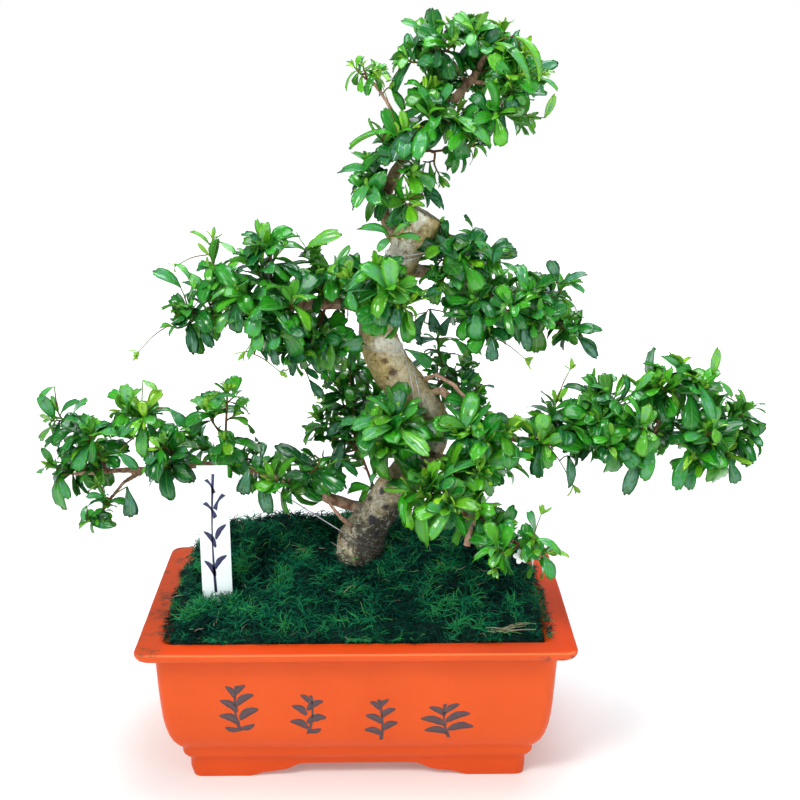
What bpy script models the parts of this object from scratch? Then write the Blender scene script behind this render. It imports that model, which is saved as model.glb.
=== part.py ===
"""Fukien tea bonsai in an oblong clay pot: pot, soil, moss, one grown trunk, leafy shoots, ties and a label.

Blender works in metres. Sizes here are in millimetres, counted from the pot's centre on the table,
with +X to the right and the front at -Y. MM turns them into metres.
"""
from math import cos, pi, radians, sin
from random import Random

import bmesh
import bpy
from mathutils import Matrix, Vector
from mathutils.bvhtree import BVHTree
from mathutils.noise import noise

MM = 0.001
GAP = 0.3
SMOOTH_ANGLE = radians(35)

# Where the pot's centre stands, so that the whole tree's box is centred on the origin
POT_AT = Vector((-32.0, 5.0, 0.0))

# Pot: half its length at each height of its outside, from the lip down to the feet
POT_HEIGHT = 110.0
POT_LENGTH = 300.0
POT_WIDTH = 200.0
LONGER_HALF = (POT_LENGTH - POT_WIDTH) / 2
POT_OUTSIDE = ((150.0, 108.6), (149.2, 105.0), (143.5, 101.6), (137.6, 100.0), (136.2, 76.0), (134.4, 53.0),
               (131.2, 38.0), (126.4, 28.2), (123.8, 25.6), (123.2, 19.5), (118.5, 14.6), (118.5, 0.0))
POT_INSIDE = ((131.0, 109.2), (127.5, 103.5), (126.4, 60.0), (112.0, 20.0))
LIP_EDGE = 1.2
CORNER_RADIUS = 8.0
CORNER_STEPS = 2
FLOOR_TOP = 20.0
FLOOR_UNDER = 11.0
FOOT_WALL = 10.0
ARCH_TOP = 10.3
# Half the bracket arch from its middle to the foot's flat sole, as distance and height
LONG_ARCH = ((42.0, ARCH_TOP), (47.0, 8.2), (53.0, 5.0), (66.0, 3.0), (79.0, 0.0))
SHORT_ARCH = ((12.0, ARCH_TOP), (15.0, 8.2), (19.0, 5.0), (27.0, 3.0), (36.0, 0.0))
DRAIN_X = 60.0
DRAIN_RADIUS = 9.0
MESH_SIDE = 34.0
MESH_THICK = 1.4
MESH_BAR = 3.0
MESH_HOLES = 3

# Soil and moss: the mound over the rim, highest behind the trunk
MOUND_RISE = 42.0
MOUND_TOP_Y = 40.0
MOUND_HALF_X = 135.0
MOUND_HALF_Y = 82.0
MOUND_FRONT_POWER = 1.8
MOUND_BACK_POWER = 3
MOUND_SIDE_POWER = 6
MOUND_EDGE_DROP = 1.0
MOSS_THICK = 9.0
MOSS_RINGS = (1.0, 0.88, 0.66, 0.36)
MOSS_LUMP = 2.2
MOSS_LUMP_SIZE = 17.0
MOSS_WALL_GAP = 1.2
SOIL_EDGE_DROP = 2.4
EDGE_POINTS = 2
HOLE_GAP = 0.4

# Plant label, a strip of stiff plastic pushed through the moss into the soil
LABEL_WIDTH = 22.0
LABEL_LENGTH = 128.0
LABEL_THICK = 1.2
LABEL_TAPER = 18.0
LABEL_FOOT = (-98.4, -45.4, 98.5)
LABEL_LEAN = radians(-2.7)

# The trunk's axis from the root in the soil to the sawn stub: x, y, z and radius
TRUNK = ((-4, 0, 92, 16.0), (-1, 0, 120, 18.4), (0, 0, 138, 18.6), (1, 0, 150, 17.2), (5, -1, 162, 15.4),
         (13, -2, 175, 14.0), (24, -4, 191, 13.4), (36, -6, 208, 13.0), (46, -6, 221, 12.8),
         (52, -5, 233, 12.6), (53, -2, 246, 12.9), (46, 0, 257, 13.8), (35, 4, 268, 14.5),
         (26, 7, 279, 14.7), (19, 10, 291, 14.4), (14, 11, 306, 13.1), (15, 10, 325, 12.2),
         (25, 7, 348, 11.6), (34, 4, 366, 11.5), (39, 3, 377, 13.2), (45, 2, 389, 13.9), (48, 2, 394, 13.2))
TRUNK_SIDES = 10

# Branches: sides, then the axis from inside what they grow from
BRANCHES = {
    "leader": (7, ((31, 5, 366, 5.0), (24, 11, 379, 5.0), (20, 14, 391, 4.8), (21, 13, 405, 4.6),
                   (27, 10, 420, 4.4), (36, 7, 434, 4.2), (48, 4, 450, 3.9), (66, 2, 469, 3.4),
                   (81, 4, 486, 2.8), (89, 5, 501, 2.1), (87, 4, 514, 1.5))),
    "crown_left": (5, ((48, 4, 450, 2.6), (34, -4, 451, 2.3), (27, -6, 459, 2.0), (21, -6, 470, 1.8),
                       (14, -4, 480, 1.5), (5, -2, 486, 1.2))),
    "crown_right": (5, ((78, 4, 482, 2.0), (89, -2, 481, 1.7), (97, -6, 470, 1.5), (102, -6, 461, 1.2))),
    "crown_top_left": (5, ((76, 4, 480, 2.0), (67, 12, 494, 1.6), (55, 14, 502, 1.2))),
    "upper_left": (6, ((14, 10, 322, 5.0), (-6, -4, 331, 4.6), (-32, -16, 333, 4.1), (-52, -20, 332, 3.6),
                       (-73, -18, 328, 3.0), (-93, -14, 321, 2.3), (-106, -14, 315, 1.6))),
    "upper_right": (6, ((27, 6, 351, 5.6), (45, 7, 352, 5.4), (66, 13, 350, 4.4), (88, 20, 339, 3.6),
                        (120, 20, 320, 3.0), (145, 16, 311, 2.3), (160, 13, 304, 1.6))),
    "lower_left": (6, ((14, -3, 179, 4.6), (-4, -5, 182, 4.6), (-21, -3, 187, 4.4), (-42, 4, 197, 4.0),
                       (-81, 8, 206, 3.5), (-115, 10, 209, 3.1), (-152, 6, 207, 2.6), (-174, 0, 208, 2.1),
                       (-204, -4, 207, 1.5))),
    "lower_left_low_twig": (5, ((2, -8, 162, 2.0), (-12, -17, 177, 1.9), (-19, -19, 187, 1.6),
                                (-25, -20, 199, 1.2))),
    "lower_left_drop": (5, ((-155, 5, 207, 2.0), (-169, -4, 200, 1.7), (-182, -10, 185, 1.4),
                            (-188, -12, 176, 1.1))),
    "lower_left_rise": (5, ((-144, 7, 207, 2.0), (-151, 2, 224, 1.6), (-156, -1, 237, 1.2))),
    "lower_right": (6, ((46, 0, 266, 3.4), (60, -8, 269, 3.2), (72, -13, 258, 3.1), (87, -17, 246, 3.0),
                        (112, -18, 236, 2.9), (143, -12, 231, 2.8), (174, -4, 231, 2.6), (211, 0, 229, 2.3),
                        (246, -4, 227, 1.9), (268, -7, 225, 1.4))),
    "lower_right_second": (5, ((48, -2, 276, 2.0), (56, -14, 282, 1.9), (67, -20, 277, 1.8), (77, -21, 266, 1.7),
                               (92, -19, 244, 1.6))),
    "lower_right_rise": (5, ((210, 0, 229, 1.8), (219, -6, 251, 1.5), (226, -8, 269, 1.2))),
    "front_right": (6, ((40, -6, 215, 4.4), (51, -28, 214, 3.9), (63, -46, 207, 3.5), (79, -62, 193, 3.1),
                        (98, -70, 182, 2.3), (114, -74, 177, 1.6))),
    "front_pruned": (5, ((77, -61, 195, 3.0), (77, -66, 185, 3.0), (75, -68, 175, 2.9))),
    "front_low": (5, ((46, -6, 223, 3.0), (55, -24, 226, 2.6), (73, -34, 226, 2.2), (94, -38, 223, 1.5))),
}

# Leafy shoots: the branch that each grows from and the tips of its twigs
SPRAYS = (
    ("crown_left", ((-10, -6, 495),)),
    ("crown_right", ((112, -10, 455), (88, -28, 463))),
    ("crown_top_left", ((47, 8, 506), (64, -16, 508))),
    ("leader", ((7, 2, 428), (2, -6, 409))),
    ("leader", ((37, -22, 417), (29, -26, 451), (10, -14, 446))),
    ("leader", ((56, 22, 414), (74, 24, 452))),
    ("leader", ((51, -28, 455), (74, -24, 451), (47, -16, 478))),
    ("leader", ((58, 28, 471), (60, 36, 491))),
    ("leader", ((79, -12, 515), (70, 14, 514))),
    ("leader", ((99, 10, 514), (111, -16, 500))),
    ("leader", ((105, 28, 495), (122, 4, 486))),
    ("upper_left", ((-130, -14, 318), (-114, -18, 334), (-100, 12, 334))),
    ("upper_left", ((-103, -10, 369),)),
    ("upper_left", ((-72, -34, 368), (-60, -26, 378))),
    ("upper_left", ((-68, -50, 328), (-38, -48, 344))),
    ("upper_left", ((-34, -4, 370),)),
    ("upper_left", ((-8, -36, 354), (12, -28, 356))),
    ("upper_left", ((-62, 20, 336), (-14, 26, 350))),
    ("upper_left", ((-27, -28, 312),)),
    ("upper_right", ((61, -4, 371), (95, 6, 364))),
    ("upper_right", ((138, 4, 343), (126, -14, 318))),
    ("upper_right", ((171, 14, 298),)),
    ("upper_right", ((76, -12, 324), (100, -2, 305))),
    ("upper_right", ((103, 50, 336), (146, 44, 315), (72, 46, 328))),
    ("lower_left", ((-20, -22, 214), (-60, -20, 215))),
    ("lower_left", ((-86, -8, 236), (-100, -4, 265), (-120, 8, 262))),
    ("lower_left", ((-134, -22, 222),)),
    ("lower_left", ((-205, 0, 245), (-180, -22, 234))),
    ("lower_left", ((-224, 2, 210), (-188, 24, 222))),
    ("lower_left", ((-56, 32, 214), (-118, 36, 214))),
    ("lower_left_rise", ((-164, -4, 261), (-145, -14, 258))),
    ("lower_left_drop", ((-205, -22, 180), (-186, -24, 163))),
    ("lower_right", ((70, -40, 246), (102, -44, 249))),
    ("lower_right", ((144, -10, 263), (130, -38, 228))),
    ("lower_right", ((178, -8, 272),)),
    ("lower_right", ((186, -34, 234),)),
    ("lower_right", ((256, 12, 258), (282, 0, 246))),
    ("lower_right", ((236, -30, 222), (276, -16, 214))),
    ("lower_right", ((206, 34, 238), (250, 32, 228))),
    ("lower_right", ((150, 34, 228),)),
    ("lower_right_rise", ((230, -4, 285), (211, -22, 277), (241, -24, 274))),
    ("front_right", ((43, -60, 203), (64, -80, 198))),
    ("front_right", ((92, -92, 180), (130, -86, 176))),
    ("front_right", ((86, -56, 206), (112, -54, 186))),
    ("front_low", ((60, -52, 222), (82, -56, 224), (112, -44, 224))),
    ("front_low", ((28, -36, 246), (10, -32, 260))),
    ("trunk", ((-12, 32, 258), (-30, 38, 232), (-36, 58, 198), (-4, 66, 204), (10, 58, 248))),
    ("trunk", ((54, 38, 313), (78, 50, 276), (90, 16, 271))),
)

# Twigs: where they sit on the bark, fork and turn up
TWIG_RADIUS = 1.25
TWIG_SIDES = 3
TIP_RADIUS = 0.9
SEAT_GAP = 0.35
SEAT_LENGTH = 1.5
SEAT_BACK_SHARE = 0.45
SEAT_BACK_MOST = 12.0
FORK_SHARE = 0.42
FORK_LIFT = 0.05
FORK_SLIM = 0.7
TIP_RISE = 0.5

# Leaves: their places on a twig, and how they are drawn and turned clear
LEAVES = 5
LEAVES_A_STEP = 2
LEAF_STEPS = 3
LEAF_STEP = 2.8
LEAF_LENGTH = (17.5, 25.0)
LEAF_TILT = (42, 72)
LEAF_SWING = 0.25
WIDE_TILT = (25, 95)
WIDE_SWING = 0.75
LEAF_SHRINK = 0.95
LEAF_SEED = 10000
LEAF_LIGHT = 0.5
LEAF_SHAPE = 0.23
LEAF_THICK = 1.1
LEAF_FOLD = 0.07
LEAF_ARCH = 0.15
LEAF_TRIES = 18
LEAFY_SHARE = 0.8
SAME_CORNER = 0.001
# The blade's edge beyond its root, as shares of its length and half width, with a tooth and a notch
LEAF_EDGE = ((0.62, 1.0), (0.92, 0.74), (0.88, 0.33))
LEAF_RIDGE = 0.60

# White flower on the front branch, on a stalk of points behind its face as distance and radius
FLOWER_AT = (110, -90, 176)
FLOWER_FACING = (0.1, -0.8, 0.6)
FLOWER_STALK = ((-4.5, 0.7), (-1.5, 0.8), (0.8, 1.3))
STALK_BACK = 6.0
FLOWER_RADIUS = 5.2
FLOWER_THICK = 0.7
FLOWER_PETALS = 5
# One petal's edge: turns as shares of a petal's angle, and distances as shares of the radius
FLOWER_EDGE = ((-0.36, 0.72), (-0.16, 1.0), (0.16, 1.0), (0.36, 0.72), (0.5, 0.3))

# Tie wires: the limb, how far along its axis the turns start, the turns, the angle and the height that they
# start at and climb by, how the turns lean, and the steps of the free end
WIRE_RADIUS = 0.5
WIRE_GAP = 0.35
WIRE_STEPS = 12
WINDINGS = (
    ("upper_tie_wire", "trunk", 0.85, 1.3, -160, 3.4, (-0.5, 0, 0), ((9, -3, 2), (16, -4, 5))),
    ("middle_tie_wire", "trunk", 0.655, -1.3, -20, 3.6, (0, 0.2, 0), ((-7, -3, 3), (-13, -4, 5))),
    ("bend_tie_wire", "trunk", 0.60, 1.3, -70, 3.6, (0, 0, 0), ((5, 0, 4), (9, 1, 9))),
    ("guy_wire", "trunk", 0.158, -1.2, 322, 3.5, (0, 0.1, 0), ()),
    ("guy_wire", "lower_left", 0.47, 1.2, -60, 3.0, (0, 0, 0), ()),
)


def clear_scene():
    for old in list(bpy.data.objects):
        bpy.data.objects.remove(old, do_unlink=True)


def make_material(name, colour, roughness, metallic=0.0):
    material = bpy.data.materials.new(name)
    material.use_nodes = True
    shader = material.node_tree.nodes["Principled BSDF"]
    shader.inputs["Base Color"].default_value = (*colour, 1.0)
    shader.inputs["Roughness"].default_value = roughness
    shader.inputs["Metallic"].default_value = metallic
    return material


def add_piece(name, shape, material, holder):
    """Turn a bmesh in millimetres into a named object on the holder."""
    bmesh.ops.scale(shape, vec=(MM, MM, MM), verts=shape.verts)
    bmesh.ops.recalc_face_normals(shape, faces=shape.faces)
    mesh = bpy.data.meshes.new(name)
    shape.to_mesh(mesh)
    shape.free()
    mesh.materials.append(material)
    mesh.shade_smooth()
    mesh.set_sharp_from_angle(angle=SMOOTH_ANGLE)
    piece = bpy.data.objects.new(name, mesh)
    bpy.context.collection.objects.link(piece)
    piece.parent = holder
    return piece


def combine(piece, others, operation, solver="EXACT"):
    """Join or cut one object with several through one Boolean, and remove the others."""
    group = bpy.data.collections.new("operands")
    bpy.context.scene.collection.children.link(group)
    for other in others:
        group.objects.link(other)
    boolean = piece.modifiers.new("combine", "BOOLEAN")
    boolean.operation = operation
    boolean.solver = solver
    boolean.operand_type = "COLLECTION"
    boolean.collection = group
    graph = bpy.context.evaluated_depsgraph_get()
    result = bpy.data.meshes.new_from_object(piece.evaluated_get(graph), depsgraph=graph)
    piece.modifiers.remove(boolean)
    name = piece.data.name
    piece.data = result
    result.name = name
    for other in others:
        bpy.data.objects.remove(other, do_unlink=True)
    bpy.data.collections.remove(group)
    result.shade_smooth()
    result.set_sharp_from_angle(angle=SMOOTH_ANGLE)
    return piece


def skin_rings(shape, rings, peaks=False, flat=False):
    """Faces between rings of equal count: triangles, or four-sided where each face is flat. Both ends are
    closed, by one face or by a fan for a curved surface."""
    count = len(rings[0])
    layers = []
    for ring in rings:
        layers.append([shape.verts.new(point) for point in ring])
    for lower, upper in zip(layers, layers[1:]):
        for i in range(count):
            j = (i + 1) % count
            if flat:
                shape.faces.new((lower[i], lower[j], upper[j], upper[i]))
                continue
            shape.faces.new((lower[i], lower[j], upper[j]))
            shape.faces.new((lower[i], upper[j], upper[i]))
    if not peaks:
        shape.faces.new(list(reversed(layers[0])))
        shape.faces.new(layers[-1])
        return
    for layer in (layers[0], layers[-1]):
        middle = shape.verts.new(sum((vertex.co for vertex in layer), Vector()) / count)
        for i in range(count):
            shape.faces.new((layer[i], layer[(i + 1) % count], middle))


def rounded_rectangle(half_x, half_y, radius, side_points=0):
    """Corner points of a rectangle with round corners, anticlockwise, with even points along each side."""
    points = []
    corners = ((1, 1), (-1, 1), (-1, -1), (1, -1))
    for number, (sx, sy) in enumerate(corners):
        centre = Vector((sx * (half_x - radius), sy * (half_y - radius)))
        for step in range(CORNER_STEPS + 1):
            angle = (number + step / CORNER_STEPS) * pi / 2
            points.append(centre + radius * Vector((cos(angle), sin(angle))))
    if side_points:
        spread = []
        for i, point in enumerate(points):
            spread.append(point)
            if i % (CORNER_STEPS + 1) == CORNER_STEPS:
                following = points[(i + 1) % len(points)]
                for step in range(1, side_points + 1):
                    spread.append(point.lerp(following, step / (side_points + 1)))
        points = spread
    return points


def box_shape(size, centre):
    shape = bmesh.new()
    bmesh.ops.create_cube(shape, size=1.0)
    bmesh.ops.scale(shape, vec=size, verts=shape.verts)
    bmesh.ops.translate(shape, vec=centre, verts=shape.verts)
    return shape


def tube(axis, sides, grow=0.0, flat=False):
    """A closed round tube along an axis of (x, y, z, radius) entries, its rings turned with the path."""
    points = [Vector(entry[:3]) for entry in axis]
    radii = [entry[3] + grow for entry in axis]
    shape = bmesh.new()
    last = len(points) - 1
    heading = (points[1] - points[0]).normalized()
    across = heading.orthogonal().normalized()
    rings = []
    for i, point in enumerate(points):
        new_heading = (points[min(i + 1, last)] - points[max(i - 1, 0)]).normalized()
        across = heading.rotation_difference(new_heading) @ across
        heading = new_heading
        up = heading.cross(across)
        ring = []
        for side in range(sides):
            angle = 2 * pi * side / sides
            ring.append(point + radii[i] * (cos(angle) * across + sin(angle) * up))
        rings.append(ring)
    skin_rings(shape, rings, flat=flat)
    return shape


def tree_of(piece):
    """A search tree of a piece's faces, in millimetres from the pot's centre."""
    points = [vertex.co / MM for vertex in piece.data.vertices]
    faces = [tuple(polygon.vertices) for polygon in piece.data.polygons]
    return BVHTree.FromPolygons(points, faces)


def make_pot(holder):
    clay = make_material("glazed orange clay", (0.86, 0.11, 0.03), 0.38)
    sections = [(POT_LENGTH / 2 - LIP_EDGE, POT_HEIGHT)]
    sections.extend(POT_OUTSIDE)
    sections.append((POT_OUTSIDE[-1][0] - FOOT_WALL, 0.0))
    sections.append((POT_OUTSIDE[-1][0] - FOOT_WALL, FLOOR_UNDER))
    rings = []
    for half, height in reversed(sections):
        ring = rounded_rectangle(half, half - LONGER_HALF, CORNER_RADIUS)
        rings.append([(p.x, p.y, height) for p in ring])
    inside = [(POT_INSIDE[0][0] + LIP_EDGE, POT_HEIGHT)]
    inside.extend(POT_INSIDE)
    for half, height in inside:
        ring = rounded_rectangle(half, half - LONGER_HALF, CORNER_RADIUS)
        rings.append([(p.x, p.y, height) for p in ring])
    shape = bmesh.new()
    skin_rings(shape, rings, flat=True)
    pot = add_piece("pot", shape, clay, holder)

    cutters = []
    for arch, along, reach in ((LONG_ARCH, 0, POT_WIDTH), (SHORT_ARCH, 1, POT_LENGTH)):
        outline = [(-distance, height) for distance, height in reversed(arch)]
        outline.extend(arch)
        outline.append((arch[-1][0], -5.0))
        outline.insert(0, (-arch[-1][0], -5.0))
        ends = []
        for side in (-reach, reach):
            ends.append([(d, side, z) if along == 0 else (side, d, z) for d, z in outline])
        shape = bmesh.new()
        skin_rings(shape, ends, flat=True)
        cutters.append(add_piece("foot arch", shape, clay, holder))
    for side in (-1, 1):
        bore = ((side * DRAIN_X, 0, 2.0, DRAIN_RADIUS), (side * DRAIN_X, 0, 28.0, DRAIN_RADIUS))
        cutters.append(add_piece("drain bore", tube(bore, 12, flat=True), clay, holder))
    return combine(pot, cutters, "DIFFERENCE")


def mound_height(x, y):
    """Height of the moss over the table: a mound that comes down to the rim at the pot's wall."""
    if y < MOUND_TOP_Y:
        along_y = 1 - ((MOUND_TOP_Y - y) / (MOUND_TOP_Y + MOUND_HALF_Y)) ** MOUND_FRONT_POWER
    else:
        along_y = 1 - ((y - MOUND_TOP_Y) / (MOUND_HALF_Y - MOUND_TOP_Y)) ** MOUND_BACK_POWER
    along_x = 1 - abs(x / MOUND_HALF_X) ** MOUND_SIDE_POWER
    lumps = MOSS_LUMP * noise(Vector((x / MOSS_LUMP_SIZE, y / MOSS_LUMP_SIZE, 2.0)))
    return POT_HEIGHT - MOUND_EDGE_DROP + MOUND_RISE * along_x * along_y + lumps


def mound_ring(share, drop):
    """One ring of the mound's surface, at a share of the way out to the pot's wall."""
    half = POT_INSIDE[0][0] - MOSS_WALL_GAP
    ring = []
    for p in rounded_rectangle(half, half - LONGER_HALF, CORNER_RADIUS, EDGE_POINTS):
        x, y = share * p.x, share * p.y
        ring.append((x, y, mound_height(x, y) - drop))
    return ring


def make_soil(holder):
    dark = make_material("dark potting soil", (0.03, 0.018, 0.01), 0.95)
    rings = []
    for half, height in reversed(POT_INSIDE[1:]):
        ring = rounded_rectangle(half - GAP, half - LONGER_HALF - GAP, CORNER_RADIUS, EDGE_POINTS)
        rings.append([(p.x, p.y, max(height, FLOOR_TOP + GAP)) for p in ring])
    rings[-1] = [(x, y, height - SOIL_EDGE_DROP) for x, y, height in rings[-1]]
    for share in MOSS_RINGS[1:]:
        rings.append(mound_ring(share, MOSS_THICK + GAP))
    shape = bmesh.new()
    skin_rings(shape, rings, peaks=True)
    return add_piece("soil", shape, dark, holder)


def make_moss(holder):
    green = make_material("dark green moss", (0.006, 0.06, 0.025), 0.9)
    rings = [mound_ring(share, 0.0) for share in reversed(MOSS_RINGS)]
    half = POT_INSIDE[1][0] - 2 * GAP
    wall = rounded_rectangle(half, half - LONGER_HALF, CORNER_RADIUS, EDGE_POINTS)
    rings.append([(p.x, p.y, POT_INSIDE[1][1] - MOUND_EDGE_DROP) for p in wall])
    for share in MOSS_RINGS[1:]:
        rings.append(mound_ring(share, MOSS_THICK))
    shape = bmesh.new()
    skin_rings(shape, rings, peaks=True)
    return add_piece("moss", shape, green, holder)


def label_shape(grow):
    """The label's strip, or with grow above zero the slot that it stands in."""
    half = LABEL_WIDTH / 2 + grow
    low = -grow
    top = LABEL_LENGTH + grow
    outline = ((-half / 2, low), (half / 2, low), (half, LABEL_TAPER), (half, top - 2),
               (half - 2, top), (2 - half, top), (-half, top - 2), (-half, LABEL_TAPER))
    thick = LABEL_THICK / 2 + grow
    shape = bmesh.new()
    skin_rings(shape, [[(x, y, z) for x, z in outline] for y in (thick, -thick)], flat=True)
    turn = Matrix.Translation(LABEL_FOOT) @ Matrix.Rotation(LABEL_LEAN, 4, "Y")
    bmesh.ops.transform(shape, matrix=turn, verts=shape.verts)
    return shape


def make_label(holder):
    plastic = make_material("white label plastic", (0.85, 0.93, 0.95), 0.35)
    return add_piece("plant_label", label_shape(0.0), plastic, holder)


def make_drain_meshes(holder):
    """Two meshes over the drainage holes, and the pockets that they leave in the soil."""
    plastic = make_material("black mesh plastic", (0.02, 0.02, 0.02), 0.5)
    pockets = []
    pitch = (MESH_SIDE - MESH_BAR) / MESH_HOLES
    height = FLOOR_TOP + GAP + MESH_THICK / 2
    for name, side in (("drain_mesh_left", -1), ("drain_mesh_right", 1)):
        centre = (side * DRAIN_X, 0, height)
        plate = add_piece(name, box_shape((MESH_SIDE, MESH_SIDE, MESH_THICK), centre), plastic, holder)
        holes = []
        for row in range(MESH_HOLES):
            for column in range(MESH_HOLES):
                x = side * DRAIN_X + pitch * (column - (MESH_HOLES - 1) / 2)
                y = pitch * (row - (MESH_HOLES - 1) / 2)
                hole = box_shape((pitch - MESH_BAR, pitch - MESH_BAR, 4 * MESH_THICK), (x, y, height))
                holes.append(add_piece("mesh hole", hole, plastic, holder))
        combine(plate, holes, "DIFFERENCE")
        room = MESH_SIDE + 2 * HOLE_GAP
        pocket = box_shape((room, room, 2 * MESH_THICK + 2 * GAP), (side * DRAIN_X, 0, height))
        pockets.append(add_piece("mesh pocket", pocket, plastic, holder))
    return pockets


def make_wood(holder):
    """The trunk, the leader and every branch, joined in one grown solid."""
    bark = make_material("grey brown bark", (0.42, 0.30, 0.18), 0.8)
    trunk = add_piece("trunk_and_branches", tube(TRUNK, TRUNK_SIDES), bark, holder)
    limbs = []
    for name, (sides, axis) in BRANCHES.items():
        limbs.append(add_piece(name, tube(axis, sides), bark, holder))
    return combine(trunk, limbs, "UNION")


def cut_holes(soil, moss, pockets, holder):
    """Plain holes for the trunk's root and slots for the label, and the soil's pockets over the drains."""
    for piece in (soil, moss):
        material = piece.data.materials[0]
        root = ((*TRUNK[0][:2], TRUNK[0][2] - HOLE_GAP, TRUNK[0][3]), *TRUNK[1:6])
        hole = add_piece("root hole", tube(root, TRUNK_SIDES, HOLE_GAP), material, holder)
        slot = add_piece("label slot", label_shape(HOLE_GAP), material, holder)
        cutters = [hole, slot]
        if piece is soil:
            cutters.extend(pockets)
        combine(piece, cutters, "DIFFERENCE")


def wire_object(name, points, material, holder):
    """A round wire along points, with closed ends."""
    curve = bpy.data.curves.new(name, "CURVE")
    curve.dimensions = "3D"
    curve.bevel_depth = WIRE_RADIUS * MM
    curve.bevel_resolution = 0
    curve.use_fill_caps = True
    spline = curve.splines.new("POLY")
    spline.points.add(len(points) - 1)
    for place, point in zip(spline.points, points):
        place.co = (*(point * MM), 1.0)
    curve.materials.append(material)
    wire = bpy.data.objects.new(name, curve)
    bpy.context.collection.objects.link(wire)
    wire.parent = holder
    return wire


def wire_turns(wood_tree, axis, share, turns, start, climb, lean):
    """Points of a wire wound round a limb, clear of its bark: share is how far along the axis it starts."""
    points = [Vector(entry[:3]) for entry in axis]
    place = share * (len(points) - 1)
    index = min(int(place), len(points) - 2)
    centre = points[index].lerp(points[index + 1], place - index)
    heading = ((points[index + 1] - points[index]).normalized() + Vector(lean)).normalized()
    radius = max(axis[index][3], axis[index + 1][3])
    side = Vector((1, 0, 0)) if abs(heading.x) < 0.8 else Vector((0, -1, 0))
    across = (side - heading * heading.dot(side)).normalized()
    up = heading.cross(across)
    steps = round(abs(turns) * WIRE_STEPS)
    wound = []
    for step in range(steps + 1):
        share_done = step / steps
        angle = start + 2 * pi * turns * share_done
        outward = cos(angle) * across + sin(angle) * up
        middle = centre + heading * climb * abs(turns) * share_done
        distance = wood_tree.ray_cast(middle, outward)[3]
        if distance is None or not radius < distance < 1.6 * radius:
            distance = radius
        clear = (distance + WIRE_RADIUS + WIRE_GAP) / cos(pi / WIRE_STEPS)
        wound.append(middle + outward * clear)
    return wound


def make_wires(wood_tree, holder):
    """The ties. A wire named twice in the list runs on from its first limb to its second."""
    steel = make_material("grey tie wire", (0.45, 0.46, 0.47), 0.4, metallic=0.9)
    paths = {}
    for name, limb, share, turns, start, climb, lean, end_steps in WINDINGS:
        axis = TRUNK if limb == "trunk" else BRANCHES[limb][1]
        wound = wire_turns(wood_tree, axis, share, turns, radians(start), climb, lean)
        tail = wound[-1]
        wound.extend(tail + Vector(step) for step in end_steps)
        paths.setdefault(name, []).extend(wound)
    return [wire_object(name, points, steel, holder) for name, points in paths.items()]


def leaf_points(length, half_width):
    """A blade's edge and ridges beyond its root, which lies at the origin: tip on +X, upper face to +Z."""
    points = []
    for side in (1, -1):
        for along, out in LEAF_EDGE:
            points.append(Vector((along * length, side * out * half_width, -LEAF_ARCH * length * along ** 2)))
    points.append(Vector((length, 0, -LEAF_ARCH * length)))
    middle = -LEAF_ARCH * length * LEAF_RIDGE ** 2 - LEAF_FOLD * length
    for face in (1, -1):
        points.append(Vector((LEAF_RIDGE * length, 0, middle + face * LEAF_THICK / 2)))
    return points


def leaf_faces():
    """Triangles of a blade. Corners 0 to 3 are its root on the twig: upper left, upper right, lower left and
    lower right. Both faces are split alike, round their shared edge."""
    count = len(LEAF_EDGE)
    left = list(range(4, 4 + count))
    right = list(range(4 + count, 4 + 2 * count))
    tip = 4 + 2 * count
    faces = [(0, left[0], 2), (1, 3, right[0])]
    for face in (0, 1):
        ridge = tip + 1 + face
        triangles = [(2 * face, 2 * face + 1, ridge), (left[0], 2 * face, ridge),
                     (2 * face + 1, right[0], ridge)]
        for a, b in zip(left, left[1:] + [tip]):
            triangles.append((b, a, ridge))
        for a, b in zip(right, right[1:] + [tip]):
            triangles.append((a, b, ridge))
        if face == 1:
            triangles = [tuple(reversed(triangle)) for triangle in triangles]
        faces.extend(triangles)
    return faces


LEAF_FACES = leaf_faces()


def placed_blade(root, along, upper, length):
    """A blade's points at its place: along is its direction and upper the side that its face looks to."""
    along = along.normalized()
    face = (upper - along * upper.dot(along)).normalized()
    side = face.cross(along)
    turn = Matrix((along, side, face)).transposed()
    return [root + turn @ point for point in leaf_points(length, LEAF_SHAPE * length)]


def branch_axis(name):
    axis = TRUNK if name == "trunk" else BRANCHES[name][1]
    return [Vector(entry[:3]) for entry in axis]


def place_along(points, distance):
    """The point of a path at a distance from its start."""
    for a, b in zip(points, points[1:]):
        span = (b - a).length
        if distance <= span:
            return a.lerp(b, distance / span)
        distance -= span
    return points[-1]


def nearest_on_axis(points, target):
    """The point of an axis nearest the target, moved a little back towards its thick end."""
    best_gap = None
    best_place = 0.0
    walked = 0.0
    for a, b in zip(points, points[1:]):
        span = b - a
        share = max(0.0, min(1.0, (target - a).dot(span) / span.length_squared))
        gap = (target - a - share * span).length
        if best_gap is None or gap < best_gap:
            best_gap = gap
            best_place = walked + share * span.length
        walked += span.length
    back = min(SEAT_BACK_SHARE * best_gap, SEAT_BACK_MOST)
    return place_along(points, max(0.0, best_place - back))


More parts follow.
